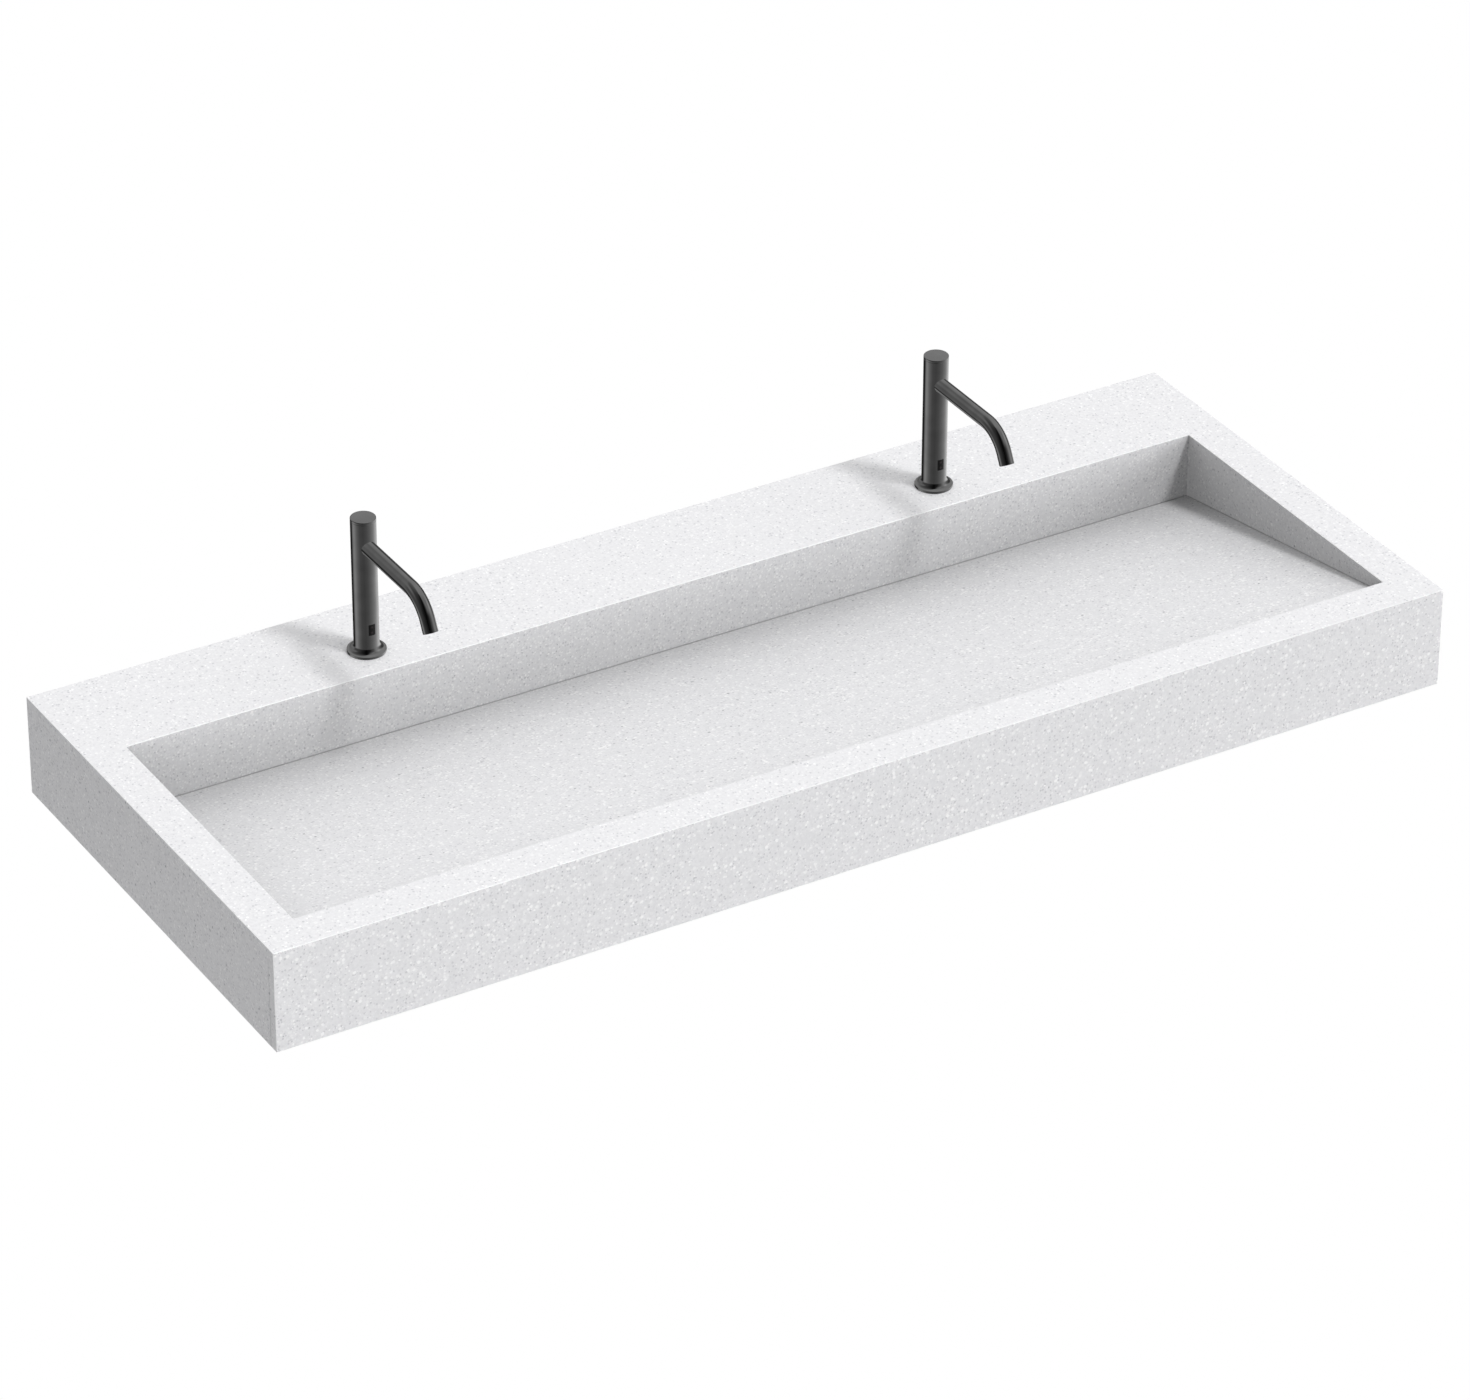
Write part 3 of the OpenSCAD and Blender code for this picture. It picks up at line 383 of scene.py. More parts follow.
def make_plain(name, dark, light, grain, rough, metallic=0.0, bump=0.0, cells=False):
    """A finish that wanders between two colours, with its grain in metres."""
    finish, tree, shader, place = start_finish(name, Metallic=metallic)
    if cells:
        flakes = add_node(tree, "ShaderNodeTexVoronoi", {"Vector": place, "Scale": 1 / grain})
        pattern = add_node(tree, "ShaderNodeSeparateColor", {"Color": flakes.outputs["Color"]}).outputs[0]
    else:
        pattern = fade(tree, noise(tree, place, grain, 3.0), 0.3, 0.7)
    tree.links.new(blend_colour(tree, pattern, dark, light), shader.inputs["Base Color"])
    tree.links.new(fade(tree, pattern, 0.0, 1.0, rough - 0.05, rough + 0.05), shader.inputs["Roughness"])
    if bump:
        add_bump(tree, shader, noise(tree, place, grain / 3, 3.0), bump)
    return finish


def make_plywood():
    finish, tree, shader, place = start_finish("plywood", Roughness=0.65, Specular_IOR_Level=0.3)
    axes = add_node(tree, "ShaderNodeSeparateXYZ", {"Vector": place})
    layer = math_node(tree, "SINE", math_node(tree, "MULTIPLY", axes.outputs[2], math.pi / PLY_THICKNESS))
    edge_tone = fade(tree, layer, -0.4, 0.4)
    stretched = add_node(tree, "ShaderNodeMapping", {"Vector": place, "Scale": (0.06, 1.0, 0.2)}).outputs[0]
    grain = fade(tree, noise(tree, stretched, 0.0022, 4.0), 0.3, 0.7)
    plies = blend_colour(tree, edge_tone, (0.34, 0.20, 0.10, 1), (0.62, 0.43, 0.25, 1))
    veneer = blend_colour(tree, grain, (0.47, 0.30, 0.16, 1), (0.66, 0.47, 0.28, 1))
    facing = add_node(tree, "ShaderNodeSeparateXYZ", {
        "Vector": add_node(tree, "ShaderNodeNewGeometry").outputs["Normal"]}).outputs[2]
    flat_side = fade(tree, math_node(tree, "ABSOLUTE", facing), 0.4, 0.8)
    tree.links.new(blend_colour(tree, flat_side, plies, veneer), shader.inputs["Base Color"])
    add_bump(tree, shader, grain, 0.00008)
    return finish


galvanised = make_plain("galvanised", grey(0.30, -0.01), grey(0.46, -0.01), 0.009, 0.45, 0.5, cells=True)
steel = make_plain("steel", grey(0.50), grey(0.60), 0.0015, 0.26, 1.0, bump=0.000003)
brass = make_plain("brass", (0.50, 0.33, 0.12, 1), (0.64, 0.45, 0.19, 1), 0.004, 0.34, 1.0, bump=0.000004)
copper = make_plain("copper", (0.55, 0.24, 0.13, 1), (0.68, 0.33, 0.20, 1), 0.006, 0.32, 1.0)
rubber = make_plain("rubber", grey(0.012), grey(0.020), 0.003, 0.70, bump=0.00003)
plastic = make_plain("plastic", grey(0.020, -0.03), grey(0.028, -0.03), 0.0012, 0.48, bump=0.00002)
plywood = make_plywood()
FINISHES = {"stone": stone, "graphite": graphite, "steel": steel, "galvanised": galvanised,
            "brass": brass, "copper": copper, "rubber": rubber, "plywood": plywood,
            "lens": smoked_window, "plastic": plastic}
print(len(FINISHES), "finishes")

# %% [markdown]
# ## Dressing the CAD nodes
#
# The record names a material slot for each node, so a loop gives every CAD node its finish. The nodes'
# own meshes are loose triangles with sharp edges and stay untouched. Each cell below makes a new piece
# in their place, and one function gives such a piece its finish and says what it rides on and replaces.

# %% Dress the CAD nodes
record = frame["record"]
slot_of = {part["node"]: part["material_slot"] for part in record["subparts"]}
body_of = {node: body for body, held in record["behaviour"]["bodies"].items() for node in held}
for name, node in nodes.items():
    node.data.materials.clear()
    node.data.materials.append(FINISHES[slot_of[name]])
print("slots:", sorted(set(slot_of.values())))
replaced_nodes = set()
# An edge that turns by more than this is a real edge and not part of a round
SHARP = math.radians(40)


def new_piece(name, shape, slot, body, *replaced, finish=None):
    """Makes a finished piece of a bmesh: its mesh, finish, slot, body and the nodes it stands for."""
    mesh = bpy.data.meshes.new(name)
    shape.to_mesh(mesh)
    shape.free()
    mesh.materials.append(finish or FINISHES[slot])
    piece = bpy.data.objects.new(name, mesh)
    bpy.context.scene.collection.objects.link(piece)
    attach(piece, body)
    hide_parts(*replaced)
    replaced_nodes.update(replaced)
    return piece


def round_shading(piece):
    """Shades small rounds smooth and large faces flat, and keeps real edges crisp."""
    piece.data.shade_smooth()
    piece.data.set_sharp_from_angle(angle=SHARP)
    weighted = piece.modifiers.new("flat faces", "WEIGHTED_NORMAL")
    weighted.mode, weighted.weight, weighted.keep_sharp = "FACE_AREA", 100, True
    return piece


# %% [markdown]
# ## The bowl
#
# Each sheet's exposed edges are eased by about a millimetre with fine paper, and that narrow round, lit by
# the lamp and lifted by a painted highlight in the stone, makes a thin white line. Glued joints are sanded
# flush and can't be seen. A Bevel modifier would round the joints too, so each sheet's CAD mesh is copied,
# its doubles are merged and its flat faces joined, and only the long outside edges between two free faces
# are bevelled.

# %% Bowl
EASE = 0.8 * MM
LONG_EDGE = 10 * MM
UP, DOWN = Vector((0, 0, 1)), Vector((0, 0, -1))
FORWARD, BACKWARD = Vector((0, -1, 0)), Vector((0, 1, 0))


def copy_node(name):
    """A CAD node's mesh as a bmesh, with its doubles merged and its flat faces joined."""
    shape = bmesh.new()
    shape.from_mesh(nodes[name].data)
    bmesh.ops.remove_doubles(shape, verts=shape.verts, dist=1e-6)
    bmesh.ops.dissolve_limit(shape, angle_limit=math.radians(1), verts=shape.verts, edges=shape.edges)
    return shape


def ease_edges(shape, glued):
    """Rounds the long outside edges whose two faces are both free."""
    def is_free(face):
        return all(face.normal.dot(way) < 0.99 for way in glued)
    eased = [edge for edge in shape.edges
             if len(edge.link_faces) == 2 and edge.is_convex and edge.calc_length() > LONG_EDGE
             and edge.calc_face_angle() > SHARP and all(map(is_free, edge.link_faces))]
    bmesh.ops.bevel(shape, geom=eased, offset=EASE, offset_type="OFFSET", affect="EDGES",
                    segments=3, profile=0.5, material=-1)
    return len(eased)


# Each sheet, and the ways that its glued faces point
BOWL = {
    "deck": (DOWN,),
    "front_apron": (UP,),
    "left_apron": (UP, FORWARD),
    "right_apron": (UP, FORWARD),
    "basin_back_wall": (UP, DOWN),
    "basin_front_wall": (UP, DOWN),
    "basin_left_wall": (UP, DOWN, FORWARD, BACKWARD),
    "basin_right_wall": (UP, DOWN, FORWARD, BACKWARD),
    "basin_floor": (UP,),
}
for name, glued in BOWL.items():
    shape = copy_node(name)
    count = ease_edges(shape, glued)
    finish = basin_stone if name.startswith("basin") else stone
    round_shading(new_piece(name + "_sheet", shape, "stone", "sink", name, finish=finish))
    print(f"{name}: {count} edges eased")

# %% [markdown]
# ## The ramp
#
# The ramp lifts out, so none of its edges is glued and all the long ones are eased. Its ribs are glued
# under it, so their upper edges stay sharp. Both could be joined into one mesh, but they are two pieces on
# a bench, and two meshes keep them so.

# %% Ramp
for name, glued in {"ramp_panel": (), "ramp_ribs": (UP,)}.items():
    shape = copy_node(name)
    count = ease_edges(shape, glued)
    round_shading(new_piece(name + "_sheet", shape, "stone", "ramp", name))
    print(f"{name}: {count} edges eased")

# %% [markdown]
# ## Turned pieces
#
# The faucet's column, its cap and other round pieces are turned on a lathe. In Blender the same is a
# spin: half a section is drawn as a loop of points and swept round the axis. A cylinder with a Bevel
# modifier would be quicker, but it couldn't have the hollow curve from the foot into the column.

# %% Lathe
# How many sides a round has: the columns and caps, the window, and smaller rounds
COLUMN_SIDES, WINDOW_SIDES, SMALL_SIDES = 160, 256, 96


def arc(centre, radius, start, end, steps):
    """Points on an arc in a section, as (radius, height) pairs. Angles are in degrees."""
    angles = [math.radians(start + (end - start) * i / steps) for i in range(steps + 1)]
    return [(centre[0] + radius * math.cos(a), centre[1] + radius * math.sin(a)) for a in angles]


def turn(section, steps=COLUMN_SIDES):
    """Spins a closed section of (radius, height) pairs, in millimetres, round the Z axis."""
    shape = bmesh.new()
    corners = [shape.verts.new((r * MM, 0, z * MM)) for r, z in section]
    sides = [shape.edges.new(pair) for pair in zip(corners, corners[1:] + corners[:1])]
    bmesh.ops.spin(shape, geom=corners + sides, cent=(0, 0, 0), axis=(0, 0, 1),
                   angle=2 * math.pi, steps=steps, use_merge=True)
    bmesh.ops.remove_doubles(shape, verts=shape.verts, dist=1e-7)
    bmesh.ops.recalc_face_normals(shape, faces=shape.faces)
    return shape


# %% [markdown]
# ## Cutting openings
#
# The column has a round hole for the spout and an opening with round corners for the sensor's window. Such
# cuts could be drawn into the section's faces by hand. A Boolean modifier takes the cutter's shape exactly
# and is applied at once, so that what is kept is a plain mesh.

# %% Cutters
# A corner's bevel width, as a share of the corner's radius
CORNER_SHARE = 0.586


def cut(shape, cutter, operation="DIFFERENCE"):
    """Applies a Boolean of one bmesh on another, and returns the result."""
    meshes = []
    for part in (shape, cutter):
        mesh = bpy.data.meshes.new("work")
        part.to_mesh(mesh)
        part.free()
        meshes.append(bpy.data.objects.new("work", mesh))
        bpy.context.scene.collection.objects.link(meshes[-1])
    work, tool = meshes
    boolean = work.modifiers.new("cut", "BOOLEAN")
    boolean.object, boolean.operation, boolean.solver = tool, operation, "EXACT"
    made = work.evaluated_get(bpy.context.evaluated_depsgraph_get()).to_mesh()
    result = bmesh.new()
    result.from_mesh(made)
    for item in meshes:
        mesh = item.data
        bpy.data.objects.remove(item)
        bpy.data.meshes.remove(mesh)
    return result


def round_bar(radius, start, end):
    """A closed round bar between two points, in millimetres."""
    start, end = Vector(start) * MM, Vector(end) * MM
    way = end - start
    place = Matrix.Translation((start + end) / 2) @ way.to_track_quat("Z", "Y").to_matrix().to_4x4()
    shape = bmesh.new()
    bmesh.ops.create_cone(shape, cap_ends=True, cap_tris=False, segments=SMALL_SIDES,
                          radius1=radius * MM, radius2=radius * MM, depth=way.length, matrix=place)
    return shape


def window_block(width, height, corner, middle, front, back):
    """A block with round corners that faces the front, in millimetres."""
    shape = bmesh.new()
    bmesh.ops.create_grid(shape, x_segments=1, y_segments=1, size=0.5)
    bmesh.ops.scale(shape, vec=(width * MM, height * MM, 1), verts=shape.verts)
    bmesh.ops.bevel(shape, geom=list(shape.verts), offset=corner * MM * CORNER_SHARE, offset_type="OFFSET",
                    affect="VERTICES", segments=8, profile=0.5, material=-1)
    bmesh.ops.rotate(shape, verts=shape.verts, cent=(0, 0, 0), matrix=Matrix.Rotation(math.pi / 2, 3, "X"))
    bmesh.ops.translate(shape, verts=shape.verts, vec=(0, front * MM, middle * MM))
    made = bmesh.ops.extrude_face_region(shape, geom=list(shape.faces))["geom"]
    moved = [item for item in made if isinstance(item, bmesh.types.BMVert)]
    bmesh.ops.translate(shape, verts=moved, vec=(0, (back - front) * MM, 0))
    bmesh.ops.recalc_face_normals(shape, faces=shape.faces)
    return shape


# %% [markdown]
# ## Faucet column and cap
#
# The column is a tube with a thin foot that flows into it in a hollow curve. The cap is a separate disc
# pressed into the top. Its lower edge and the column's upper edge are both eased, and the fine groove
# between them is the dark line under the top.

# %% Column and cap
BODY_R, BORE_R, BODY_TOP, TOP = 15.0, 12.5, 172.0, 175.0
FLANGE_R, FLANGE_T, FLARE_R = 23.0, 3.0, 7.0
GASKET_R, GASKET_T = 20.0, 1.0
SPOUT_R, SPOUT_Z = 9.0, 140.5
WINDOW_W, WINDOW_H, WINDOW_R = 8.5, 14.5, 1.2
GROOVE, FOOT_EDGE, CAP_EDGE = 0.25, 0.3, 0.8
CAP_PLUG_L = 4
# Free space round a piece that sits in another
PLAY = 0.1
# A ring of points on the column, between its two openings
MIDDLE_RING = 90.0
# Cutters start this far in front of the column
CUT_FROM = -BODY_R - 2


def column_shape():
    section = [(BORE_R, GASKET_T), (GASKET_R, GASKET_T), (GASKET_R, 0.0)]
    section += [(FLANGE_R - FOOT_EDGE, 0.0), (FLANGE_R, FOOT_EDGE)]
    section += arc((FLANGE_R - FOOT_EDGE, FLANGE_T - FOOT_EDGE), FOOT_EDGE, 0, 90, 4)
    section += arc((BODY_R + FLARE_R, FLANGE_T + FLARE_R), FLARE_R, 270, 180, 14)
    section += [(BODY_R, MIDDLE_RING), (BODY_R, BODY_TOP - GROOVE)]
    section += [(BODY_R - GROOVE, BODY_TOP), (BORE_R, BODY_TOP)]
    shape = turn(section)
    shape = cut(shape, round_bar(SPOUT_R + PLAY, (0, CUT_FROM, SPOUT_Z), (0, 0, SPOUT_Z)))
    return cut(shape, window_block(WINDOW_W, WINDOW_H, WINDOW_R, WINDOW_Z / MM, CUT_FROM, 0))


def cap_shape():
    plug_r, plug_end = BORE_R - PLAY, BODY_TOP - CAP_PLUG_L
    section = [(0.0, plug_end), (plug_r, plug_end), (plug_r, BODY_TOP)]
    section += [(BODY_R - GROOVE, BODY_TOP), (BODY_R, BODY_TOP + GROOVE)]
    section += arc((BODY_R - CAP_EDGE, TOP - CAP_EDGE), CAP_EDGE, 0, 90, 5)
    section += [(0.0, TOP)]
    return turn(section)


# %% [markdown]
# ## Spout
#
# The spout is one tube of even bore: straight out of the column, round a wide bend and straight again to
# the outlet. A curve with a bevel would make such a tube too, but not its open, rounded end. So a circle
# is extruded, spun round the bend's centre and extruded again, once for the outside and once for the
# bore, and the two are bridged at their ends.

# %% Spout
SPOUT_ROOT, SPOUT_RUN, BEND_R, BEND = 2.0, 112.4, 45.0, math.radians(62)
SPOUT_TIP, SPOUT_WALL, LIP = 14.0, 1.5, 0.45
bend_centre = Vector((0, -SPOUT_RUN, SPOUT_Z - BEND_R)) * MM
tip_way = Vector((0, -math.cos(BEND), -math.sin(BEND)))
bend_end = bend_centre + Vector((0, -math.sin(BEND), math.cos(BEND))) * BEND_R * MM
outlet = bend_end + tip_way * SPOUT_TIP * MM


def pull(shape, edges, way):
    """Extrudes a loop of edges and moves the new loop, which it returns."""
    made = bmesh.ops.extrude_edge_only(shape, edges=edges)["geom"]
    moved = [item for item in made if isinstance(item, bmesh.types.BMVert)]
    bmesh.ops.translate(shape, verts=moved, vec=way)
    loop = set(moved)
    return [item for item in made if isinstance(item, bmesh.types.BMEdge) and set(item.verts) <= loop]


def tube_skin(shape, radius):
    """One skin of the spout. Returns its first and last loops of edges."""
    start = Matrix.Translation((0, SPOUT_ROOT * MM, SPOUT_Z * MM)) @ Matrix.Rotation(math.pi / 2, 4, "X")
    made = bmesh.ops.create_circle(shape, cap_ends=False, segments=SMALL_SIDES, radius=radius * MM,
                                   matrix=start)
    first = list({edge for vert in made["verts"] for edge in vert.link_edges})
    straight = pull(shape, first, (0, -(SPOUT_ROOT + SPOUT_RUN) * MM, 0))
    ends = {vert for edge in straight for vert in edge.verts}
    spun = bmesh.ops.spin(shape, geom=list(ends) + straight, cent=bend_centre, axis=(1, 0, 0),
                          angle=BEND, steps=28, use_merge=False)
    last = [item for item in spun["geom_last"] if isinstance(item, bmesh.types.BMEdge)]
    return first, pull(shape, last, tip_way * SPOUT_TIP * MM)


def spout_shape():
    shape = bmesh.new()
    outer_first, outer_last = tube_skin(shape, SPOUT_R)
    inner_first, inner_last = tube_skin(shape, SPOUT_R - SPOUT_WALL)
    bmesh.ops.bridge_loops(shape, edges=outer_first + inner_first)
    bmesh.ops.bridge_loops(shape, edges=outer_last + inner_last)
    bmesh.ops.recalc_face_normals(shape, faces=shape.faces)
    lips = [edge for edge in outer_last + inner_last if edge.is_valid]
    bmesh.ops.bevel(shape, geom=lips, offset=LIP * MM, offset_type="OFFSET", affect="EDGES",
                    segments=3, profile=0.5, material=-1)
    return shape


# %% [markdown]
# ## Outlet
#
# A perforated disc sits just inside the outlet and breaks the water into a soft stream. It is seen only
# from below. It is turned as a shallow cup and then drilled with three rings of small holes.

# %% Outlet
AERATOR_R, AERATOR_L, AERATOR_RECESS = 7.45, 6.0, 1.0
# The plug's outer edge, and the shallow dish in its face: its rim, its floor's radius and its depth
PLUG_EDGE, DISH_RIM, DISH_R, DISH_T = 0.3, 6.6, 6.2, 0.5
HOLE_R, HOLE_PITCH, DRILL_L = 0.8, 2.4, 20


def aerator_shape():
    section = [(0.0, AERATOR_L), (AERATOR_R, AERATOR_L), (AERATOR_R, PLUG_EDGE),
               (AERATOR_R - PLUG_EDGE, 0.0), (DISH_RIM, 0.0), (DISH_R, DISH_T), (0.0, DISH_T)]
    shape = turn(section, SMALL_SIDES)
    drill = bmesh.new()
    for ring, count in enumerate((1, 6, 12)):
        for i in range(count):
            angle = 2 * math.pi * i / count
            centre = Vector((math.cos(angle), math.sin(angle), 0)) * ring * HOLE_PITCH * MM
            place = Matrix.Translation(centre)
            bmesh.ops.create_cone(drill, cap_ends=True, cap_tris=False, segments=16, radius1=HOLE_R * MM,
                                  radius2=HOLE_R * MM, depth=DRILL_L * MM, matrix=place)
    shape = cut(shape, drill)
    # Stand the plug in the outlet, with its face towards the basin
    turned = (-tip_way).to_track_quat("Z", "Y").to_matrix()
    bmesh.ops.rotate(shape, verts=shape.verts, cent=(0, 0, 0), matrix=turned)
    bmesh.ops.translate(shape, verts=shape.verts, vec=outlet - tip_way * AERATOR_RECESS * MM)
    return shape


# How far the window is sunk, and the heights between which its ring is turned before it is cut out
WINDOW_SUNK, RING_BOTTOM, RING_TOP = 0.12, 20.0, 48.0


def window_shape():
    outside = BODY_R - WINDOW_SUNK
    section = [(BORE_R, RING_BOTTOM), (outside, RING_BOTTOM), (outside, RING_TOP), (BORE_R, RING_TOP)]
    pane = window_block(WINDOW_W - 2 * PLAY, WINDOW_H - 2 * PLAY, WINDOW_R - PLAY, WINDOW_Z / MM,
                        CUT_FROM, 0)
    return cut(turn(section, WINDOW_SIDES), pane, "INTERSECT")


# %% [markdown]
# ## Two faucets
#
# Both faucets are alike, so each shape is made twice and moved to its place in the mesh itself. The
# object stays at the origin, as a CAD node's does.

# %% Faucets
FAUCET_PIECES = {
    "faucet_column": (column_shape, "graphite", "faucet_body"),
    "faucet_top": (cap_shape, "graphite", "faucet_cap"),
    "spout_tube": (spout_shape, "graphite", "spout"),
    "outlet_plug": (aerator_shape, "graphite", "aerator"),
    "window_pane": (window_shape, "lens", "sensor_window"),
}
for side, sign in (("left", -1), ("right", 1)):
    for name, (make, slot, node) in FAUCET_PIECES.items():
        shape = make()
        bmesh.ops.translate(shape, verts=shape.verts, vec=(sign * FAUCET_X, FAUCET_Y, 0))
        piece = new_piece(f"{side}_{name}", shape, slot, "sink", f"{side}_{node}")
        round_shading(piece)
        if side == "left":
            print(f"{name}: {len(piece.data.polygons)} faces")

# %% [markdown]
# ## Hardware
#
# Brackets, nuts, valves and the drain keep their CAD shapes. On the real ones no edge is quite sharp, so
# each gets a copy with its edges broken by a Bevel modifier, which suits many small shapes at once.
#
# The faucet's shank and the drain's body also carry a thread. A true helix would need thousands of faces
# for a detail a few millimetres wide, so a cutter with a saw-toothed bore leaves rings of the same pitch
# and depth. A valve's spring is squeezed as its plunger moves in, but here each spring is a smooth-shaded
# copy of its CAD coil and keeps its shape.

# %% Hardware
BROKEN_EDGE = 0.35 * MM
# Radius, depth, pitch, bottom and top of a thread, and the axis it is on, in millimetres
THREADS = {
    "left_shank": (12.4, 0.8, 1.5, -60.2, -31.0, -FAUCET_X / MM, FAUCET_Y / MM),
    "right_shank": (12.4, 0.8, 1.5, -60.2, -31.0, FAUCET_X / MM, FAUCET_Y / MM),
    "drain_body": (21.0, 0.9, 2.0, -178.2, -130.5, 0.0, -212.4),
}


def thread_cutter(radius, depth, pitch, bottom, top, x, y):
    """A ring whose bore has the teeth of a thread."""
    count = int((top - bottom) / pitch)
    section = [(radius + 2, bottom), (radius + 2, bottom + count * pitch)]
    for ring in range(count, 0, -1):
        section += [(radius, bottom + ring * pitch), (radius - depth, bottom + (ring - 0.5) * pitch)]
    section += [(radius, bottom)]
    shape = turn(section, SMALL_SIDES)
    bmesh.ops.translate(shape, verts=shape.verts, vec=(x * MM, y * MM, 0))
    return shape


for side in ("left", "right"):
    name = side + "_plunger_spring"
    spring = round_shading(new_piece(side + "_valve_spring", copy_node(name), "steel", "sink", name))
    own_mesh(spring)

hardware = [name for name in nodes if name not in replaced_nodes]
for name in hardware:
    shape = copy_node(name)
    if name in THREADS:
        shape = cut(shape, thread_cutter(*THREADS[name]))
    piece = new_piece(name + "_dressed", shape, slot_of[name], body_of[name], name)
    eased = piece.modifiers.new("broken edges", "BEVEL")
    eased.width, eased.segments, eased.limit_method = BROKEN_EDGE, 2, "ANGLE"
    eased.angle_limit = SHARP
    round_shading(piece)
print(len(hardware), "pieces of hardware")

# %% [markdown]
# ## Light
#
# The light is a bright studio. A large soft lamp at the front right, above, gives the faucets their soft
# shadows on the deck. The rest comes from all round and mostly from low down, and more of it from the
# right, so the ramp grows darker towards the slot, where the back wall hides that light.
#
# What the faucets mirror is dark behind the camera and bright at both sides and behind the sink, and this
# gives the dark metal its soft stripes. Large white cards could stand round the sink. Ramps of grey that
# go once round the horizon do the same with no cards to get in the way of other views. The stone is lit by
# three of them, one above the other, and the metal mirrors five of its own. For that the lamp is kept
# off the metal, and the pieces are hidden from mirror rays, so a faucet mirrors the studio alone.
#
# The levels weren't all chosen by eye. Those that light the stone, with the lamp's power and the floor's
# light, came from a separate least-squares fit to the tones of the stone in the photograph. Those that
# the metal mirrors were picked from light levels that were worked out from the tones on the faucets.

# %% Light
LAMP_WAY = Vector((0.326, -0.492, 0.807)).normalized()
LAMP_POWER, LAMP_SPREAD = 1.38, math.radians(12)
FLOOR_LIGHT = 0.23
# Degrees to the right of the camera's own direction, and how bright it is there. What lights the stone:
LOW_SKY = ((-180, 1.27), (-120, 0.74), (-60, 1.22), (-15, 1.61), (30, 1.20), (75, 3.76), (120, 2.40),
           (180, 1.27))
MIDDLE_SKY = ((-180, 1.36), (-120, 0.75), (-60, 0.63), (0, 0.27), (60, 0.53), (120, 1.68), (180, 1.36))
HIGH_SKY = ((-180, 1.00), (-90, 0.23), (0, 0.0), (90, 0.33), (180, 1.00))
# What the metal mirrors, from below to high up:
MIRRORED_UNDER = ((-180, 0.15), (-150, 0.35), (-130, 1.2), (-110, 1.7), (-90, 1.2), (0, 0.85),
                  (180, 0.15))
MIRRORED_LOW = ((-180, 0.20), (-130, 0.03), (-119, 0.05), (-103, 0.98), (-88, 1.28), (-55, 0.64),
                (-30, 0.37), (0, 0.31), (30, 0.42), (60, 0.70), (90, 1.14), (122, 1.85), (145, 1.46),
                (180, 0.3))
MIRRORED_LEVEL = ((-180, 0.18), (-150, 0.50), (-120, 0.72), (-98, 0.34), (-60, 0.24), (-30, 0.11),
                  (0, 0.01), (30, 0.08), (60, 0.45), (85, 1.25), (105, 1.10), (125, 0.50), (150, 0.14),
                  (180, 0.18))
MIRRORED_HIGH = ((-180, 1.0), (-165, 0.98), (-145, 0.73), (-120, 0.72), (-98, 0.80), (-70, 0.28),
                 (-35, 0.08), (0, 0.01), (30, 0.07), (60, 0.44), (90, 1.28), (108, 1.85), (135, 1.12),
                 (180, 1.0))
MIRRORED_TOP = ((-180, 1.15), (-160, 0.94), (-145, 0.54), (-110, 0.34), (-70, 0.18), (-20, 0.04),
                (0, 0.01), (20, 0.06), (45, 0.53), (65, 0.92), (90, 0.78), (130, 1.08), (180, 1.15))


# The upward part of a direction goes from -1, straight down, to 1, straight up. Each row says between
# which two values of it the next level takes over.
SKY_ABOVE = ((0.2, 0.5, MIDDLE_SKY), (0.55, 0.85, HIGH_SKY))
MIRRORED_ABOVE = ((-0.68, -0.56, MIRRORED_LOW), (-0.36, -0.12, MIRRORED_LEVEL),
                  (0.22, 0.45, MIRRORED_HIGH), (0.54, 0.74, MIRRORED_TOP))


def horizon_ramp(tree, share, stops):
    """A grey that goes once round the horizon."""
    ramp = add_node(tree, "ShaderNodeValToRGB", {"Fac": share})
    points = ramp.color_ramp.elements
    points[0].color, points[-1].color = grey(stops[0][1]), grey(stops[-1][1])
    for angle, level in stops[1:-1]:
        points.new(angle / 360 + 0.5).color = grey(level)
    return ramp.outputs["Color"]


def stack_levels(tree, up, share, lowest, above):
    """Greys that go round the horizon, one level above the other."""
    light = horizon_ramp(tree, share, lowest)
    for start, end, stops in above:
        light = blend_colour(tree, fade(tree, up, start, end), light, horizon_ramp(tree, share, stops))
    return light


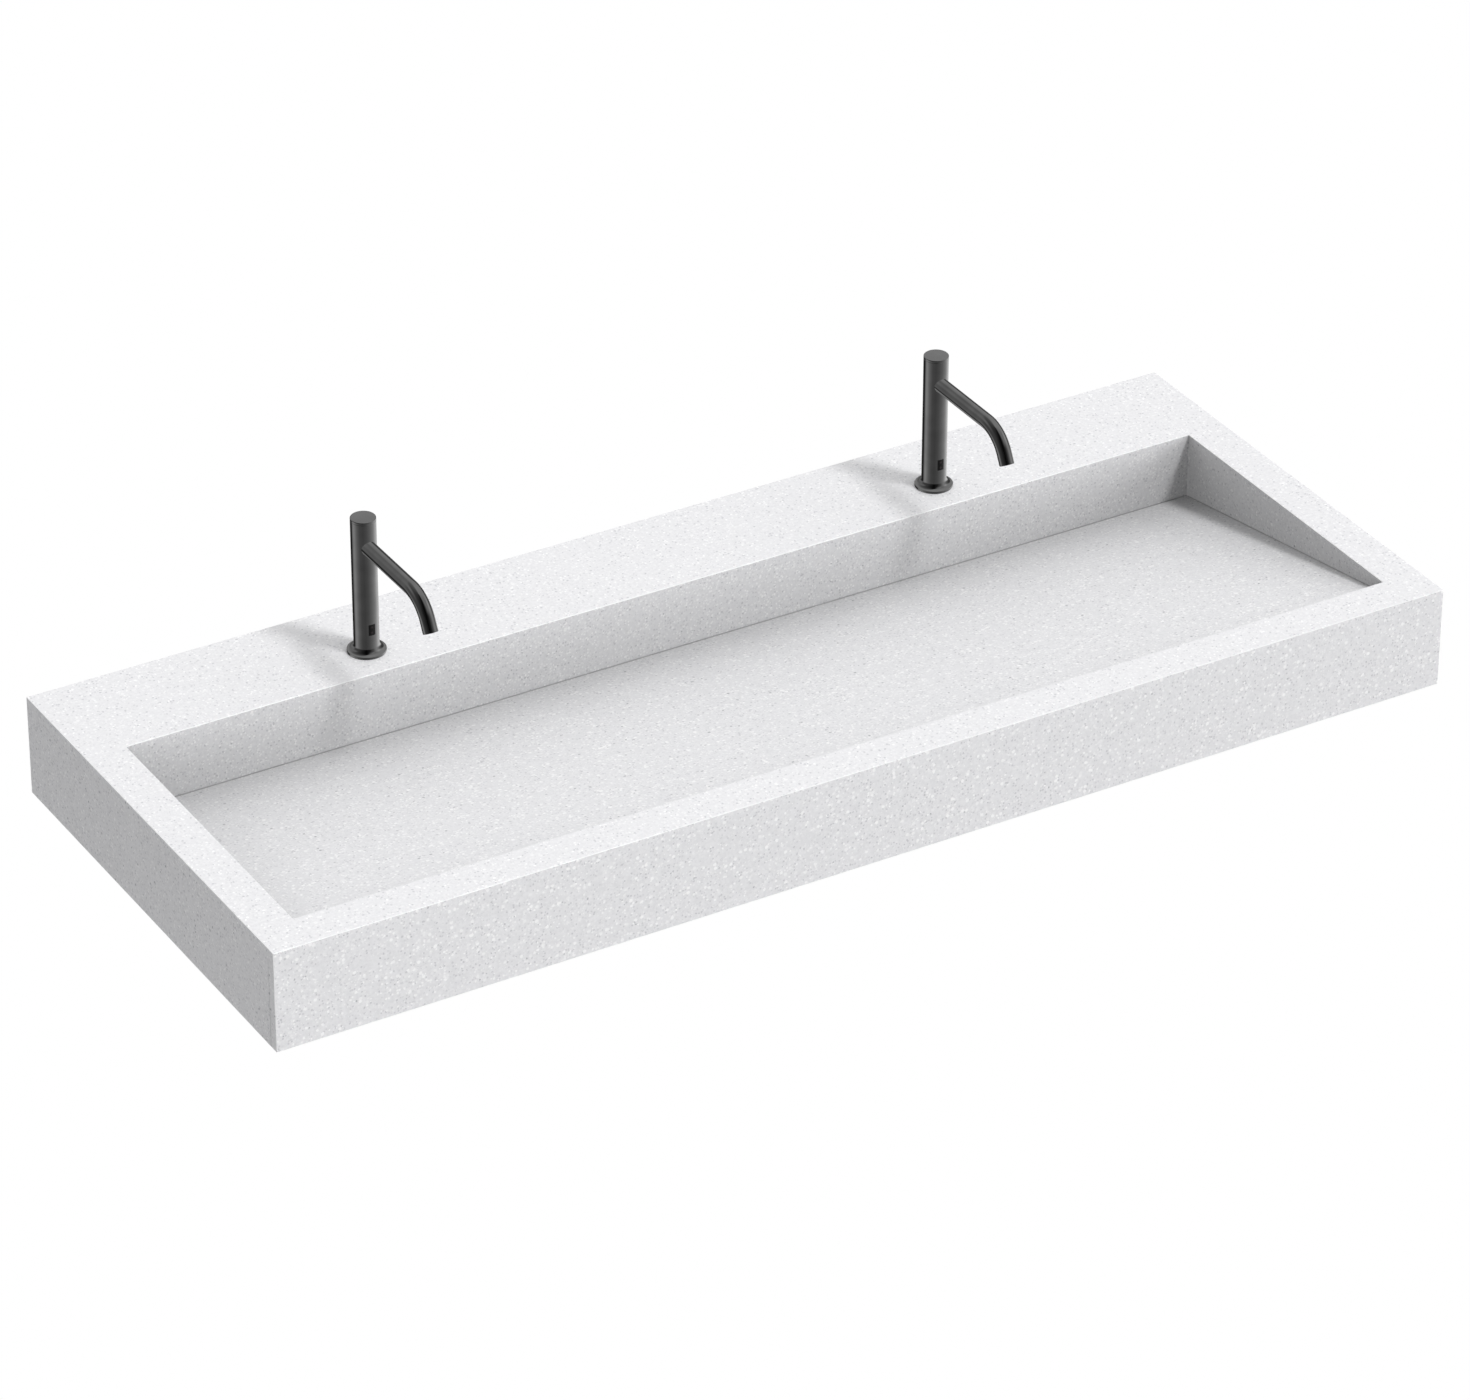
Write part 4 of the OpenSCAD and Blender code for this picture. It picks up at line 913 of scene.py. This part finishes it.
def make_world():
    world = bpy.data.worlds.new("studio")
    world.use_nodes = True
    tree = world.node_tree
    tree.nodes.clear()
    way = add_node(tree, "ShaderNodeTexCoord").outputs["Generated"]
    turned = add_node(tree, "ShaderNodeVectorRotate", {"Vector": way, "Angle": -AZIMUTH},
                      rotation_type="Z_AXIS").outputs[0]
    axes = add_node(tree, "ShaderNodeSeparateXYZ", {"Vector": turned})
    up = axes.outputs[2]
    toward = math_node(tree, "MULTIPLY", axes.outputs[1], -1.0)
    around = math_node(tree, "ARCTAN2", axes.outputs[0], toward)
    share = math_node(tree, "MULTIPLY_ADD", around, 0.5 / math.pi, 0.5)
    soft = stack_levels(tree, up, share, LOW_SKY, SKY_ABOVE)
    mirrored = stack_levels(tree, up, share, MIRRORED_UNDER, MIRRORED_ABOVE)
    path = add_node(tree, "ShaderNodeLightPath")
    light = blend_colour(tree, path.outputs["Is Glossy Ray"], soft, mirrored)
    seen = blend_colour(tree, path.outputs["Is Camera Ray"], light, grey(1.0))
    background = add_node(tree, "ShaderNodeBackground", {"Color": seen, "Strength": 1.0})
    add_node(tree, "ShaderNodeOutputWorld", {"Surface": background.outputs[0]})
    bpy.context.scene.world = world


make_world()
lamp_data = bpy.data.lights.new("soft_lamp", "SUN")
lamp_data.energy, lamp_data.angle = LAMP_POWER, LAMP_SPREAD
lamp = bpy.data.objects.new("soft_lamp", lamp_data)
lamp.rotation_mode = "QUATERNION"
lamp.rotation_quaternion = LAMP_WAY.to_track_quat("Z", "Y")
bpy.context.scene.collection.objects.link(lamp)
unlit = bpy.data.collections.new("not lit by the lamp")
lamp.light_linking.receiver_collection = unlit
for piece in bpy.context.scene.objects:
    if piece.type == "MESH" and piece.data.materials[0] == graphite:
        unlit.objects.link(piece)
        unlit.collection_objects[-1].light_linking.link_state = "EXCLUDE"

# %% [markdown]
# ## Floor
#
# The sink hangs on a wall with its rim at 864 mm, so a plain white floor lies that far below it. It is
# lit so evenly that it meets the white background with no line.

# %% Floor
RIM_HEIGHT, FLOOR_REACH = 0.864, 40


def make_floor():
    shape = bmesh.new()
    bmesh.ops.create_grid(shape, x_segments=1, y_segments=1, size=FLOOR_REACH,
                          matrix=Matrix.Translation((0, 0, -RIM_HEIGHT)))
    mesh = bpy.data.meshes.new("floor")
    shape.to_mesh(mesh)
    shape.free()
    finish = bpy.data.materials.new("floor")
    finish.use_nodes = True
    tree = finish.node_tree
    tree.nodes.clear()
    path = add_node(tree, "ShaderNodeLightPath")
    level = blend_colour(tree, path.outputs["Is Camera Ray"], grey(FLOOR_LIGHT), grey(1.0))
    lit = add_node(tree, "ShaderNodeEmission", {"Color": level})
    clear = add_node(tree, "ShaderNodeBsdfTransparent")
    below = add_node(tree, "ShaderNodeNewGeometry").outputs["Backfacing"]
    sides = add_node(tree, "ShaderNodeMixShader", {0: below, 1: lit.outputs[0], 2: clear.outputs[0]})
    add_node(tree, "ShaderNodeOutputMaterial", {"Surface": sides.outputs[0]})
    mesh.materials.append(finish)
    floor = bpy.data.objects.new("floor", mesh)
    bpy.context.scene.collection.objects.link(floor)


make_floor()
# Nothing shows in mirror rays, so the metal mirrors the studio alone
for piece in bpy.context.scene.objects:
    if piece.type == "MESH":
        piece.visible_glossy = False
bpy.context.scene.view_settings.view_transform = "Standard"
print("the floor lies", RIM_HEIGHT, "m below the rim")
